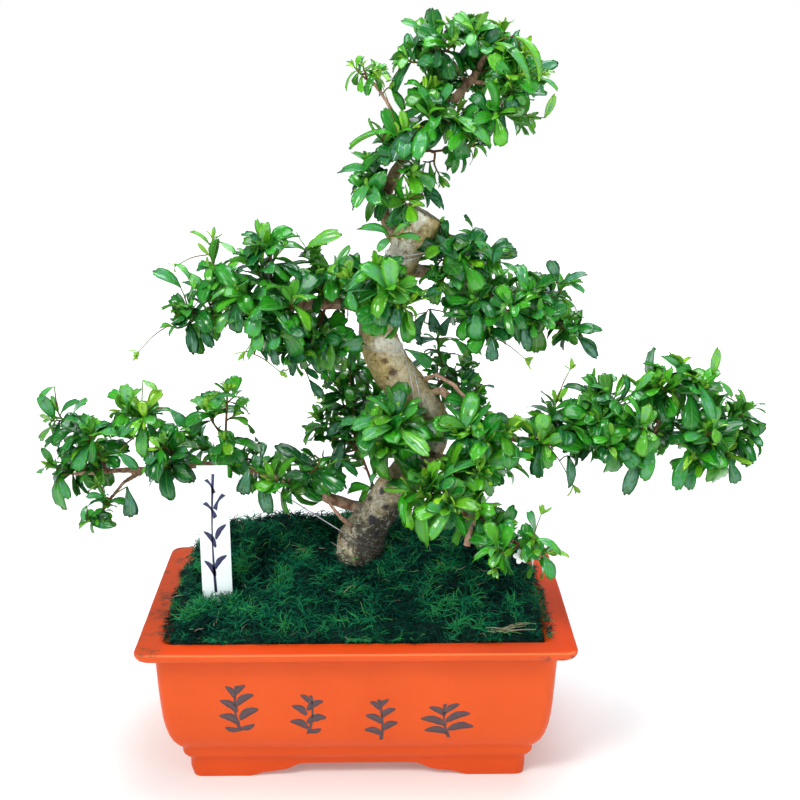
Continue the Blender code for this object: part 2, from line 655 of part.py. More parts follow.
def twig_axes(branch, tips, wood_tree):
    """Axes of a shoot's twigs. The first runs from its seat on the bark, the others from its fork."""
    tips = [Vector(tip) for tip in tips]
    middle = sum(tips, Vector()) / len(tips)
    inside = nearest_on_axis(branch_axis(branch), middle)
    hit, normal, _, _ = wood_tree.ray_cast(inside, (middle - inside).normalized())
    seat = hit + normal * SEAT_GAP
    fork = seat.lerp(middle, FORK_SHARE) + Vector((0, 0, FORK_LIFT * (middle - seat).length))
    axes = []
    for tip in tips:
        heading = ((tip - fork).normalized() + Vector((0, 0, TIP_RISE))).normalized()
        leafy = min(LEAF_STEP * LEAF_STEPS, LEAFY_SHARE * (tip - fork).length)
        axis = [fork] if axes else [seat, seat + normal * SEAT_LENGTH, fork]
        for step in range(LEAF_STEPS + 1):
            axis.append(tip - heading * leafy * (1 - step / LEAF_STEPS))
        axes.append(axis)
    return axes


def twig_rings(axis, seated):
    """Three-sided rings along a twig. A seated twig's first two are square to the bark that it sits on, and
    any other starts slimmer, inside the twig that it forks from."""
    rings = []
    last = len(axis) - 1
    heading = (axis[1] - axis[0]).normalized()
    across = heading.orthogonal().normalized()
    for i, point in enumerate(axis):
        new_heading = (axis[min(i + 1, last)] - axis[max(i - 1, 0)]).normalized()
        if seated and i < 2:
            new_heading = (axis[1] - axis[0]).normalized()
        across = heading.rotation_difference(new_heading) @ across
        heading = new_heading
        up = heading.cross(across)
        radius = TWIG_RADIUS + (TIP_RADIUS - TWIG_RADIUS) * i / last
        if i == 0 and not seated:
            radius *= FORK_SLIM
        ring = []
        for side in range(TWIG_SIDES):
            angle = 2 * pi * side / TWIG_SIDES
            ring.append(point + radius * (cos(angle) * across + sin(angle) * up))
        rings.append(ring)
    return rings


def root_corners(rings, leaf):
    """The four ring points that a leaf grows from, as (ring, side) pairs in the order of its corners."""
    low = len(rings) - 1 - LEAF_STEPS + leaf // LEAVES_A_STEP
    side = (2 * leaf) % TWIG_SIDES
    following = (side + 1) % TWIG_SIDES
    return ((low + 1, following), (low + 1, side), (low, following), (low, side))


class Surface:
    """Triangles with a search tree, to test what crosses what."""

    def __init__(self, points, faces):
        self.points = points
        self.faces = faces
        self.tree = BVHTree.FromPolygons(points, faces)

    def crosses(self, other):
        """Whether any triangles cross, apart from those that share a corner."""
        for mine, theirs in self.tree.overlap(other.tree):
            corners = [self.points[i] for i in self.faces[mine]]
            others = [other.points[i] for i in other.faces[theirs]]
            if min((a - b).length for a in corners for b in others) > SAME_CORNER:
                return True
        return False


def tube_surface(rings):
    shape = bmesh.new()
    skin_rings(shape, rings)
    shape.verts.index_update()
    points = [vertex.co.copy() for vertex in shape.verts]
    faces = [tuple(vertex.index for vertex in face.verts) for face in shape.faces]
    shape.free()
    return Surface(points, faces)


def find_blade(draw, rings, leaf, is_clear):
    """Turn a leaf about its root until it is clear of everything else, or give it up."""
    corners = [rings[ring][side] for ring, side in root_corners(rings, leaf)]
    root = sum(corners, Vector()) / 4
    heading = ((corners[0] + corners[1]) - (corners[2] + corners[3])).normalized()
    low = root_corners(rings, leaf)[2][0]
    outward = root - sum(rings[low], Vector()) / TWIG_SIDES
    outward = (outward - heading * outward.dot(heading)).normalized()
    length = draw.uniform(*LEAF_LENGTH)
    tilt = radians(draw.uniform(*LEAF_TILT))
    swing = draw.uniform(-LEAF_SWING, LEAF_SWING)
    for attempt in range(LEAF_TRIES):
        sideways = heading.cross(outward)
        away = cos(swing) * outward + sin(swing) * sideways
        along = cos(tilt) * heading + sin(tilt) * away
        upper = heading + Vector((0, 0, LEAF_LIGHT))
        points = corners + placed_blade(root, along, upper, length)
        if is_clear(points):
            return points
        tilt = radians(draw.uniform(*WIDE_TILT))
        swing = draw.uniform(-WIDE_SWING, WIDE_SWING)
        if attempt > LEAF_TRIES / 2:
            length *= LEAF_SHRINK
    return None


def make_leafy_twig(rings, blades, material, holder):
    """One closed mesh of a twig whose leaves grow out of its side faces."""
    shape = bmesh.new()
    layers = [[shape.verts.new(point) for point in ring] for ring in rings]
    taken = set()
    for leaf, points in blades:
        roots = root_corners(rings, leaf)
        taken.add((roots[3][0], roots[3][1]))
        corners = [layers[ring][side] for ring, side in roots]
        corners.extend(shape.verts.new(point) for point in points[4:])
        for face in LEAF_FACES:
            shape.faces.new([corners[i] for i in face])
    for low in range(len(rings) - 1):
        for side in range(TWIG_SIDES):
            if (low, side) in taken:
                continue
            following = (side + 1) % TWIG_SIDES
            a, b = layers[low][side], layers[low][following]
            c, d = layers[low + 1][following], layers[low + 1][side]
            shape.faces.new((a, b, c))
            shape.faces.new((a, c, d))
    shape.faces.new(list(reversed(layers[0])))
    shape.faces.new(layers[-1])
    return add_piece("leafy twig", shape, material, holder)


def make_sprays(wood_tree, fixed_trees, holder):
    """Every leafy shoot, its leaves turned until they are clear of all the rest."""
    green = make_material("glossy green leaf", (0.03, 0.22, 0.035), 0.3)
    shoots = []
    for branch, tips in SPRAYS:
        twigs = []
        for axis in twig_axes(branch, tips, wood_tree):
            rings = twig_rings(axis, seated=not twigs)
            twigs.append((rings, tube_surface(rings)))
        shoots.append(twigs)

    blades_done = []
    for number, twigs in enumerate(shoots):
        name = "spray_%s_%02d" % (SPRAYS[number][0], number + 1)
        parts = []
        for twig_number, (rings, own_twig) in enumerate(twigs):
            solid = [twig.tree for shoot in shoots for _, twig in shoot if twig is not own_twig]
            solid.extend(fixed_trees)

            def is_clear(points):
                leaf = Surface(points, LEAF_FACES)
                if any(leaf.tree.overlap(tree) for tree in solid) or leaf.crosses(own_twig):
                    return False
                near = [done for done in blades_done if (done.points[0] - points[0]).length < 2 * LEAF_LENGTH[1]]
                return not any(leaf.crosses(done) for done in near)

            blades = []
            for leaf in range(LEAVES):
                draw = Random(LEAF_SEED + 100 * number + 10 * twig_number + leaf)
                points = find_blade(draw, rings, leaf, is_clear)
                if points is None:
                    continue
                blades.append((leaf, points))
                blades_done.append(Surface(points, LEAF_FACES))
            parts.append(make_leafy_twig(rings, blades, green, holder))
        parts[0].name = name
        parts[0].data.name = name
        if len(parts) > 1:
            combine(parts[0], parts[1:], "UNION", "MANIFOLD")


def make_flower(wood_tree, holder):
    """One small open flower of five petals, on a thin stalk that grows from the front branch's tip."""
    white = make_material("white petal", (0.9, 0.9, 0.86), 0.5)
    centre = Vector(FLOWER_AT)
    facing = Vector(FLOWER_FACING).normalized()
    across = facing.orthogonal().normalized()
    up = facing.cross(across)
    branch = branch_axis("front_right")
    inside = branch[-1].lerp(branch[-2], 0.2)
    hit, normal, _, _ = wood_tree.ray_cast(inside, (centre - facing * STALK_BACK - inside).normalized())
    stalk = [(*(hit + normal * SEAT_GAP), FLOWER_STALK[0][1])]
    stalk.extend((*(centre + facing * along), radius) for along, radius in FLOWER_STALK)
    flower = add_piece("white_flower", tube(stalk, 5), white, holder)
    outline = []
    for petal in range(FLOWER_PETALS):
        for turn, reach in FLOWER_EDGE:
            angle = 2 * pi * (petal + turn) / FLOWER_PETALS
            outline.append(centre + reach * FLOWER_RADIUS * (cos(angle) * across + sin(angle) * up))
    shape = bmesh.new()
    half = facing * FLOWER_THICK / 2
    skin_rings(shape, [[p - half for p in outline], [p + half for p in outline]])
    petals = add_piece("petals", shape, white, holder)
    return combine(flower, [petals], "UNION")


def build():
    clear_scene()
    holder = bpy.data.objects.new("bonsai", None)
    bpy.context.collection.objects.link(holder)
    make_pot(holder)
    soil = make_soil(holder)
    moss = make_moss(holder)
    pockets = make_drain_meshes(holder)
    cut_holes(soil, moss, pockets, holder)
    label = make_label(holder)
    wood = make_wood(holder)
    wood_tree = tree_of(wood)
    wires = make_wires(wood_tree, holder)
    flower = make_flower(wood_tree, holder)
    graph = bpy.context.evaluated_depsgraph_get()
    fixed = [wood_tree, tree_of(moss), tree_of(label), tree_of(flower)]
    for wire in wires:
        mesh = wire.evaluated_get(graph).to_mesh()
        points = [vertex.co / MM for vertex in mesh.vertices]
        faces = [tuple(polygon.vertices) for polygon in mesh.polygons]
        fixed.append(BVHTree.FromPolygons(points, faces))
        wire.evaluated_get(graph).to_mesh_clear()
    make_sprays(wood_tree, fixed, holder)
    holder.location = POT_AT * MM


build()
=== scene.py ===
from math import cos, pi, radians, sin
from random import Random

import bpy
import numpy as np
from mathutils import Matrix, Vector
from mathutils.bvhtree import BVHTree
from mathutils.noise import noise


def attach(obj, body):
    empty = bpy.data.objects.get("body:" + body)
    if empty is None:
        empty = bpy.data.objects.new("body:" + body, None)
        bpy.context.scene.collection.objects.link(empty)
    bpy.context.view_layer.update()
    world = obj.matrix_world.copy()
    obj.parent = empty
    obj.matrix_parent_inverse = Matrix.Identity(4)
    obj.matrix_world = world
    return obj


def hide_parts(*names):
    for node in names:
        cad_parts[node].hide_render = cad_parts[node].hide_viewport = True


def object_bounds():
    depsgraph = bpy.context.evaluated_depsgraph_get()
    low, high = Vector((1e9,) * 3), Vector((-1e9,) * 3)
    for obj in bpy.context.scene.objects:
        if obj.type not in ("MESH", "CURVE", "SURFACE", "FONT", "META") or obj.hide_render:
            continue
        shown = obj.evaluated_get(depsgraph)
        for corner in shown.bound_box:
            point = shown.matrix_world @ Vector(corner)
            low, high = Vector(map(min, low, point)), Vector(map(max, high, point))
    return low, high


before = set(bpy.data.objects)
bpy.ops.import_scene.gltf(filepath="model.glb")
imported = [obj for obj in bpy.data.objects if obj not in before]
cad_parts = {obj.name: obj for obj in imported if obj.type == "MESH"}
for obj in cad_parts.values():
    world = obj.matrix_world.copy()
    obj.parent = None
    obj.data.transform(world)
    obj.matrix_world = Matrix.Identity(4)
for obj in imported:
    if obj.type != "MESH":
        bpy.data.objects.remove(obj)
cad_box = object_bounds()

# The room: a pale floor and a white studio round the tree, with soft lights from the upper left, the right and
# above. The camera looks from the photograph's place, a little down on the pot.
CAMERA_AT = (-0.015, -0.958, 0.529)
CAMERA_TURN = (radians(74.4), 0.0, radians(-0.8))
CAMERA_LENS = 63
CAMERA_SENSOR = 36
# Each light: its name, its place, what it points at, its size, power and colour
SOFT_LIGHTS = (
    ("key_light", (-0.9, -1.1, 1.5), (0.0, 0.0, 0.25), 0.7, 25, (1.0, 0.99, 0.96)),
    ("fill_light", (1.4, -1.2, 0.8), (0.0, 0.0, 0.22), 1.2, 8, (0.96, 0.98, 1.0)),
    ("top_light", (0.2, 0.2, 1.7), (0.0, 0.0, 0.25), 1.25, 26, (0.84, 0.93, 1.0)),
    ("back_light", (0.4, 1.4, 2.0), (0.0, 0.0, 0.25), 1.2, 10, (0.9, 0.96, 1.0)),
)
SKY_WHITE = (1.0, 1.0, 1.0)
SKY_GREY = (0.26, 0.29, 0.33)
SKYLINE = (0.01, 0.08)
FLOOR_SIZE = 80.0
FLOOR_CUTS = 4
# The paper glows more from the first distance to the second, so that it meets the white studio without a line
GLOW_FROM_TO = (0.35, 1.3)

bpy.ops.object.select_all(action="DESELECT")
bpy.ops.object.camera_add(location=CAMERA_AT, rotation=CAMERA_TURN)
camera = bpy.context.object
camera.data.lens = CAMERA_LENS
camera.data.sensor_width = CAMERA_SENSOR
bpy.context.scene.camera = camera
bpy.context.scene.view_settings.view_transform = "Standard"
for name, place, target, size, power, colour in SOFT_LIGHTS:
    bpy.ops.object.select_all(action="DESELECT")
    aim = (Vector(target) - Vector(place)).to_track_quat("-Z", "Y").to_euler()
    bpy.ops.object.light_add(type="AREA", location=place, rotation=aim)
    light = bpy.context.object
    light.name = name
    light.data.size = size
    light.data.energy = power
    light.data.color = colour


class Finish:
    """One socket in a material's nodes. Maths on it adds Math nodes, and node() adds any other."""

    def __init__(self, tree, socket=None):
        self.tree = tree
        self.socket = socket

    def node(self, kind, settings, inputs, output=0):
        """Add a node, set its settings first, then give its sockets values or links."""
        made = self.tree.nodes.new("ShaderNode" + kind)
        for name, value in settings.items():
            if name == "stops":
                stops = made.color_ramp.elements
                for number, (place, colour) in enumerate(value):
                    stop = stops[number] if number < 2 else stops.new(place)
                    stop.position = place
                    stop.color = (*colour, 1.0)
            else:
                setattr(made, name, value)
        for name, value in inputs.items():
            if isinstance(value, Finish):
                self.tree.links.new(value.socket, made.inputs[name])
            else:
                made.inputs[name].default_value = value
        return Finish(self.tree, made.outputs[output])

    def maths(self, operation, *values):
        """A Math node on the values, or on this socket alone where none are given."""
        return self.node("Math", {"operation": operation}, dict(enumerate(values or (self,))))

    def __add__(self, other):
        return self.maths("ADD", self, other)

    def __radd__(self, other):
        return self.maths("ADD", other, self)

    def __sub__(self, other):
        return self.maths("SUBTRACT", self, other)

    def __rsub__(self, other):
        return self.maths("SUBTRACT", other, self)

    def __mul__(self, other):
        return self.maths("MULTIPLY", self, other)

    def __rmul__(self, other):
        return self.maths("MULTIPLY", other, self)

    def step(self, low, high):
        """0 below low and 1 above high, with a smooth slope between them."""
        settings = {"interpolation_type": "SMOOTHSTEP"}
        return self.node("MapRange", settings, {"Value": self, "From Min": low, "From Max": high})

    def band(self, low, low_full, high_full, high):
        """1 between the two middle levels and 0 outside the outer two."""
        return self.step(low, low_full) * (1.0 - self.step(high_full, high))

    def mix(self, first, second):
        """The first colour where this is 0 and the second where it is 1."""
        colours = {0: self}
        for number, colour in ((6, first), (7, second)):
            colours[number] = colour if isinstance(colour, Finish) else (*colour, 1.0)
        return self.node("Mix", {"data_type": "RGBA"}, colours, 2)


def new_material(name):
    """A material with its shader, and the point on the piece, which patterns are drawn in."""
    material = bpy.data.materials.new(name)
    material.use_nodes = True
    tree = material.node_tree
    place = Finish(tree).node("TexCoord", {}, {}, "Object")
    return material, tree.nodes["Principled BSDF"], place


def spots(place, scale, detail=3.0, rough=0.55):
    """Cloudy noise between 0 and 1 at a scale in turns a metre."""
    return place.node("TexNoise", {}, {"Vector": place, "Scale": scale, "Detail": detail, "Roughness": rough})


def part(vector, axis):
    """One number of a vector: X, Y or Z."""
    return vector.node("SeparateXYZ", {}, {"Vector": vector}, axis)


def coat(shader, **links):
    """Link or set the shader's sockets by name."""
    for name, value in links.items():
        socket = shader.inputs[name.replace("_", " ").title().replace("Ior", "IOR")]
        if isinstance(value, Finish):
            value.tree.links.new(value.socket, socket)
        else:
            socket.default_value = value


world = bpy.data.worlds.new("white studio")
bpy.context.scene.world = world
world.use_nodes = True
direction = Finish(world.node_tree).node("TexCoord", {}, {}, "Generated")
sky = part(direction, "Z").step(*SKYLINE).mix(SKY_WHITE, SKY_GREY)
world.node_tree.links.new(sky.socket, world.node_tree.nodes["Background"].inputs["Color"])

bpy.ops.object.select_all(action="DESELECT")
bpy.ops.mesh.primitive_plane_add(size=FLOOR_SIZE)
floor = bpy.context.object
floor.name = "pale_floor"
bpy.ops.object.mode_set(mode="EDIT")
bpy.ops.mesh.subdivide(number_cuts=FLOOR_CUTS)
bpy.ops.object.mode_set(mode="OBJECT")
paper, shader, place = new_material("pale paper floor")
far = place.node("VectorMath", {"operation": "LENGTH"}, {0: place}, "Value").step(*GLOW_FROM_TO)
coat(shader, base_color=spots(place, 3.0).mix((0.82, 0.81, 0.79), (0.84, 0.83, 0.81)), roughness=0.9,
     specular_ior_level=0.1, emission_color=far.mix((0.22, 0.22, 0.21), (1.0, 1.0, 1.0)), emission_strength=0.8)
floor.data.materials.append(paper)


# The pot is slip cast from clay in one piece: a broad lip, walls that draw in to two moulded lines, and four
# bracket feet with arches between them. It is fired with an orange glaze, and its walls run a little uneven.
MM = 0.001
POT_AT = Vector((-32.0, 5.0, 0.0))
PLACE = Matrix.Translation(POT_AT * MM) @ Matrix.Scale(MM, 4)
HALF_LENGTH = 150.0
HALF_WIDTH = 100.0
LONGER_HALF = HALF_LENGTH - HALF_WIDTH
POT_CORNER = 5.5
CORNER_STEPS = 5
# Outlines of the pot: the half length and the height, from the recess under its floor, up outside and down inside
POT_RECESS = ((108.5, 11.0), (108.5, 0.0))
POT_WALL = (
    (117.9, 0.0), (118.5, 0.6), (118.5, 7.0), (118.5, 13.2), (119.2, 14.8), (121.2, 17.0), (122.8, 19.4),
    (123.2, 21.0), (123.3, 24.0), (123.6, 25.2), (124.6, 26.4), (126.2, 28.0), (129.2, 32.6), (131.3, 38.0),
    (133.1, 45.0), (134.4, 53.0), (135.4, 64.0), (136.2, 76.0), (136.9, 88.0), (137.4, 97.0), (138.2, 99.8),
    (140.2, 101.0), (143.5, 101.7), (146.6, 102.8), (148.6, 104.4), (149.7, 106.4), (149.9, 108.2), (149.3, 109.4),
    (148.0, 110.0),
)
POT_INSIDE = (
    (133.5, 110.0), (132.0, 109.5), (131.0, 108.2), (127.5, 103.5), (126.9, 80.0), (126.4, 60.0), (120.0, 38.0),
    (112.0, 20.0),
)
# Outlines of the arches between the feet: the distance from the middle and the height
LONG_ARCH = (
    (0.0, 10.6), (36.0, 10.4), (41.5, 10.0), (44.5, 9.0), (47.5, 7.4), (51.0, 5.8), (56.0, 4.8), (63.0, 3.9),
    (69.0, 3.0), (73.0, 1.6), (77.0, 0.7), (81.0, -3.0),
)
SHORT_ARCH = (
    (0.0, 10.6), (9.0, 10.4), (12.0, 9.8), (14.5, 8.4), (17.0, 6.4), (20.0, 5.0), (24.5, 4.1), (29.0, 3.2),
    (32.5, 1.6), (35.0, 0.7), (38.0, -3.0),
)
CUT_PAST = 10.0
DRAIN_X = 60.0
DRAIN_RADIUS = 9.0
DRILL_DEPTH = 30.0
# The walls are cut to cells this wide, this many to each side, along each axis, to take the uneven shape
WALL_CELLS = ((11.5, 12, (1.0, 0.0, 0.0)), (12.0, 7, (0.0, 1.0, 0.0)))
# Each sway of the walls: how far, and how wide its waves are
WALL_SWAYS = ((0.30, 46.0), (0.12, 15.0))
LEFT_LONGER = 2.0
RIGHT_LONGER = 0.8
# The extra length starts this far from the middle. It comes in over this many mm, as the lip's dip does on the way up
LONGER_FROM = 90.0
FADE = 20.0
FEET_FLAT = 1.0
RIM_DIP = 0.25
RIM_DIP_WIDTH = 31.0
EDGE_BEVEL = 0.5
# Where the glaze's colour changes, and where painted shade on the rim top and under the lip and a painted highlight
# along the lip's top edge lie, in metres from the table, from the object's middle and from its depth's middle
FOOT_TOP = (0.004, 0.030)
RIM = (0.1075, 0.1095)
DUSTY_RIM = (0.1075, 0.1090)
LIP_HIGHLIGHT = (0.1084, 0.1088, 0.1095, 0.1098)
LIP_FACE = (0.098, 0.102, 0.106, 0.109)
# The band under the lip that painted shade darkens
UNDER_LIP_SHADE = (0.096, 0.099, 0.1015, 0.1035)
LEFT_END = (-0.172, -0.158)
RIGHT_CORNER = (0.086, 0.104)
FRONT_FACE = (-0.092, -0.090)
FRONT_CORNER = (-0.082, -0.066)


def fresh(add, **settings):
    if bpy.context.mode != "OBJECT":
        bpy.ops.object.mode_set(mode="OBJECT")
    bpy.ops.object.select_all(action="DESELECT")
    add(**settings)
    return bpy.context.object


def pick(piece, *others):
    """Select pieces alone, with the first one active."""
    bpy.ops.object.select_all(action="DESELECT")
    for one in (piece, *others):
        one.select_set(True)
    bpy.context.view_layer.objects.active = piece


def apply_modifier(piece, kind, **settings):
    """Put a modifier on a piece and apply it."""
    added = piece.modifiers.new(kind.lower(), kind)
    for name, value in settings.items():
        setattr(added, name, value)
    bpy.context.view_layer.objects.active = piece
    bpy.ops.object.modifier_apply(modifier=added.name)


def cut(piece, cutter):
    """Take the cutter's shape out of a piece."""
    apply_modifier(piece, "BOOLEAN", operation="DIFFERENCE", solver="EXACT", object=cutter)
    bpy.data.objects.remove(cutter, do_unlink=True)


def slice_up(places, direction):
    """Cut the whole of the piece that is in edit mode at places along a direction."""
    for at in places:
        bpy.ops.mesh.select_all(action="SELECT")
        bpy.ops.mesh.bisect(plane_co=Vector(direction) * at, plane_no=direction)
    bpy.ops.mesh.select_all(action="SELECT")


def tree_of(piece):
    """A search tree of a piece's faces, in the piece's own units."""
    points = [vertex.co for vertex in piece.data.vertices]
    return BVHTree.FromPolygons(points, [tuple(face.vertices) for face in piece.data.polygons])


def put_in_place(piece, name):
    """Name a finished piece, and take its mesh from the pot's own millimetres to its place in metres."""
    piece.name = name
    piece.data.name = name
    piece.data.transform(PLACE)


def layered(colour, *layers):
    """A colour with others over it in turn. Each layer is a mask, its strength and its colour."""
    for mask, strength, over in layers:
        colour = (mask * strength).mix(colour, over)
    return colour


def bump(height, strength, distance):
    """A Bump node's normal from a height."""
    return height.node("Bump", {}, {"Height": height, "Strength": strength, "Distance": distance})


last_half, last_height = POT_RECESS[0]
pot = fresh(bpy.ops.mesh.primitive_plane_add, size=2.0, location=(0.0, 0.0, last_height))
bpy.ops.object.transform_apply(location=True)
bpy.ops.object.mode_set(mode="EDIT")
bpy.ops.transform.resize(value=(last_half, last_half - LONGER_HALF, 1.0))
bpy.ops.mesh.bevel(offset=POT_CORNER, offset_type="OFFSET", segments=CORNER_STEPS, affect="VERTICES")
for half, height in POT_RECESS[1:] + POT_WALL + POT_INSIDE:
    bpy.ops.mesh.extrude_region_move(TRANSFORM_OT_translate={"value": (0.0, 0.0, height - last_height)})
    wider = (half - LONGER_HALF) / (last_half - LONGER_HALF)
    bpy.ops.transform.resize(value=(half / last_half, wider, 1.0))
    last_half, last_height = half, height
for cell, most, direction in WALL_CELLS:
    slice_up([cell * number for number in range(-most, most + 1)], direction)
bpy.ops.mesh.normals_make_consistent(inside=False)
bpy.ops.object.mode_set(mode="OBJECT")
# The walls sway, the ends run a little longer and the lip dips, but the feet stand flat on the table
for vertex in pot.data.vertices:
    spot = vertex.co.copy()
    if spot.z > FEET_FLAT:
        sway = sum(far * noise(spot / wide) for far, wide in WALL_SWAYS)
        vertex.co += Vector((spot.x / HALF_LENGTH, spot.y / HALF_WIDTH, 0.0)) * sway
        end_share = min(1.0, max(0.0, (abs(spot.x) - LONGER_FROM) / FADE))
        vertex.co.x += (RIGHT_LONGER if spot.x > 0.0 else -LEFT_LONGER) * end_share
        dip = abs(noise(spot / RIM_DIP_WIDTH + Vector((5.0, 0.0, 0.0))))
        vertex.co.z -= RIM_DIP * dip * min(1.0, spot.z / FADE)

for arch, turn, reach in ((LONG_ARCH, 0.0, HALF_WIDTH + CUT_PAST), (SHORT_ARCH, pi / 2, HALF_LENGTH + CUT_PAST)):
    outline = [(-distance, height) for distance, height in reversed(arch[1:])] + list(arch[1:])
    cutter = fresh(bpy.ops.mesh.primitive_circle_add, vertices=len(outline), fill_type="NGON")
    for vertex, (distance, height) in zip(cutter.data.vertices, outline):
        vertex.co = (distance, -reach, height)
    bpy.ops.object.mode_set(mode="EDIT")
    bpy.ops.mesh.select_all(action="SELECT")
    bpy.ops.mesh.extrude_region_move(TRANSFORM_OT_translate={"value": (0.0, 2 * reach, 0.0)})
    bpy.ops.mesh.select_all(action="SELECT")
    bpy.ops.mesh.normals_make_consistent(inside=False)
    bpy.ops.object.mode_set(mode="OBJECT")
    cutter.data.transform(Matrix.Rotation(turn, 4, "Z"))
    cut(pot, cutter)
for side in (-1, 1):
    cut(pot, fresh(bpy.ops.mesh.primitive_cylinder_add, vertices=32, radius=DRAIN_RADIUS, depth=DRILL_DEPTH,
                   location=(side * DRAIN_X, 0.0, DRILL_DEPTH / 2)))
apply_modifier(pot, "BEVEL", width=EDGE_BEVEL, segments=2, limit_method="ANGLE", angle_limit=radians(42))
pick(pot)
bpy.ops.object.shade_smooth_by_angle(angle=radians(32))
pot_tree = tree_of(pot)
put_in_place(pot, "glazed_pot")

clay, shader, place = new_material("orange glazed clay")
across, deep, height = (part(place, axis) for axis in "XYZ")
cloud = spots(place, 16.0, 4.0)
grain = spots(place, 420.0, 2.0)
# The rim top: its deeper, darker orange is painted shade from the foliage over it, and its glaze is a little rougher
rim = height.step(*RIM)
# Painted highlight: a thin pale line along the top edge of the lip's front face
lip_highlight = (1.0 - deep.step(*FRONT_FACE)) * height.band(*LIP_HIGHLIGHT)
speck = spots(place, 900.0, 1.0).step(0.73, 0.78)
left_rim = (1.0 - across.step(*LEFT_END)) * height.step(*DUSTY_RIM)
stain = spots(place, 55.0, 4.0, 0.7).step(0.50, 0.66)
right_lip = across.step(*RIGHT_CORNER) * height.band(*LIP_FACE) * (1.0 - deep.step(*FRONT_CORNER))
scuff = right_lip * spots(place, 160.0, 3.0).step(0.46, 0.6)
orange = layered(
    cloud.step(0.3, 0.7).mix((0.69, 0.079, 0.006), (0.75, 0.091, 0.009)),
    (1.0 - height.step(*FOOT_TOP), 0.5, (0.70, 0.066, 0.006)),
    # painted shade: a deeper, darker orange on the rim top
    (rim, 0.8, (0.78, 0.052, 0.001)),
    # painted highlight: a thin pale line along the lip's top edge
    (lip_highlight, 0.7, (0.92, 0.22, 0.07)),
    # painted shade: a darker band just under the lip
    (height.band(*UNDER_LIP_SHADE), 0.35, (0.55, 0.045, 0.004)),
    (speck, 0.5, (0.36, 0.07, 0.03)),
    (left_rim, 0.38, (0.34, 0.075, 0.022)),
    (stain * left_rim, 0.85, (0.16, 0.048, 0.022)),
    (scuff, 0.8, (0.11, 0.045, 0.05)),
)
peel = spots(place, 150.0, 2.0) * 0.6 + grain * 0.25
coat(shader, base_color=orange, roughness=0.32 + cloud * 0.16 + scuff * 0.3 + rim * 0.12, specular_ior_level=0.24,
     normal=bump(peel, 0.16, 0.0009))
pot.data.materials.append(clay)
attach(pot, "root")
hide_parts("pot")


# Four small leafy sprigs are painted on the pot's front with a brush in thin grey-brown glaze: a curved stem and
# leaf strokes that swell and taper. Each stroke is a skin of glaze a tenth of a millimetre proud of the wall.
STROKE_LIFT = 0.12
STROKE_THICK = 0.4
STROKE_STEPS = 9
STEM_WIDEST = 1.6
RAGGED_EDGE = 0.18
# Each stroke: its start's x and z, its end's x and z, its widest half width, and how far it bows sideways, in mm
SPRIGS = (
    (
        (-82.0, 44.0, -83.5, 80.5, 1.3, 2.4), (-82.5, 50.0, -96.0, 57.0, 3.0, -2.2),
        (-82.0, 54.0, -69.0, 62.0, 3.2, 2.0), (-83.5, 60.0, -95.0, 69.0, 2.8, -1.8),
        (-84.0, 65.0, -72.0, 73.5, 2.8, 1.8), (-84.5, 71.0, -91.0, 80.0, 2.2, -1.2),
        (-84.0, 74.0, -77.5, 81.0, 2.1, 1.0), (-82.0, 46.0, -72.0, 49.5, 2.2, -1.0),
        (-82.2, 45.0, -92.5, 47.0, 2.2, 1.0),
    ),
    (
        (-35.0, 41.0, -32.5, 72.5, 1.3, -2.2), (-35.0, 46.0, -47.0, 52.0, 2.9, -2.0),
        (-35.5, 51.0, -22.0, 55.0, 3.0, 1.8), (-35.6, 57.0, -45.5, 64.5, 2.6, -1.6),
        (-35.2, 61.0, -24.0, 68.0, 2.6, 1.6), (-33.8, 67.0, -39.5, 73.0, 1.9, -1.0),
        (-35.0, 43.5, -25.5, 45.0, 2.1, -0.9),
    ),
    (
        (16.0, 35.0, 14.5, 69.0, 1.3, -1.8), (16.4, 40.0, 4.5, 44.5, 2.8, -1.8), (16.9, 44.0, 27.5, 50.5, 2.8, 1.6),
        (16.9, 50.0, 5.5, 56.5, 2.7, -1.6), (16.4, 55.0, 26.0, 61.5, 2.4, 1.4), (15.6, 61.0, 8.5, 67.5, 2.0, -1.0),
        (15.4, 63.0, 21.5, 69.0, 1.8, 0.9),
    ),
    (
        (63.5, 37.0, 60.5, 65.0, 1.3, 2.0), (63.0, 41.0, 46.5, 43.5, 2.9, -2.0), (62.6, 44.0, 80.5, 46.5, 3.1, 2.2),
        (61.6, 48.0, 44.0, 53.5, 2.9, -1.8), (61.2, 51.0, 78.0, 57.5, 2.9, 2.0), (60.8, 56.0, 49.5, 62.5, 2.3, -1.3),
        (60.6, 58.0, 70.5, 65.0, 2.2, 1.2),
    ),
)


def joined(first, *others):
    """The first piece, with the others joined into it."""
    pick(first, *others)
    bpy.ops.object.join()
    return first


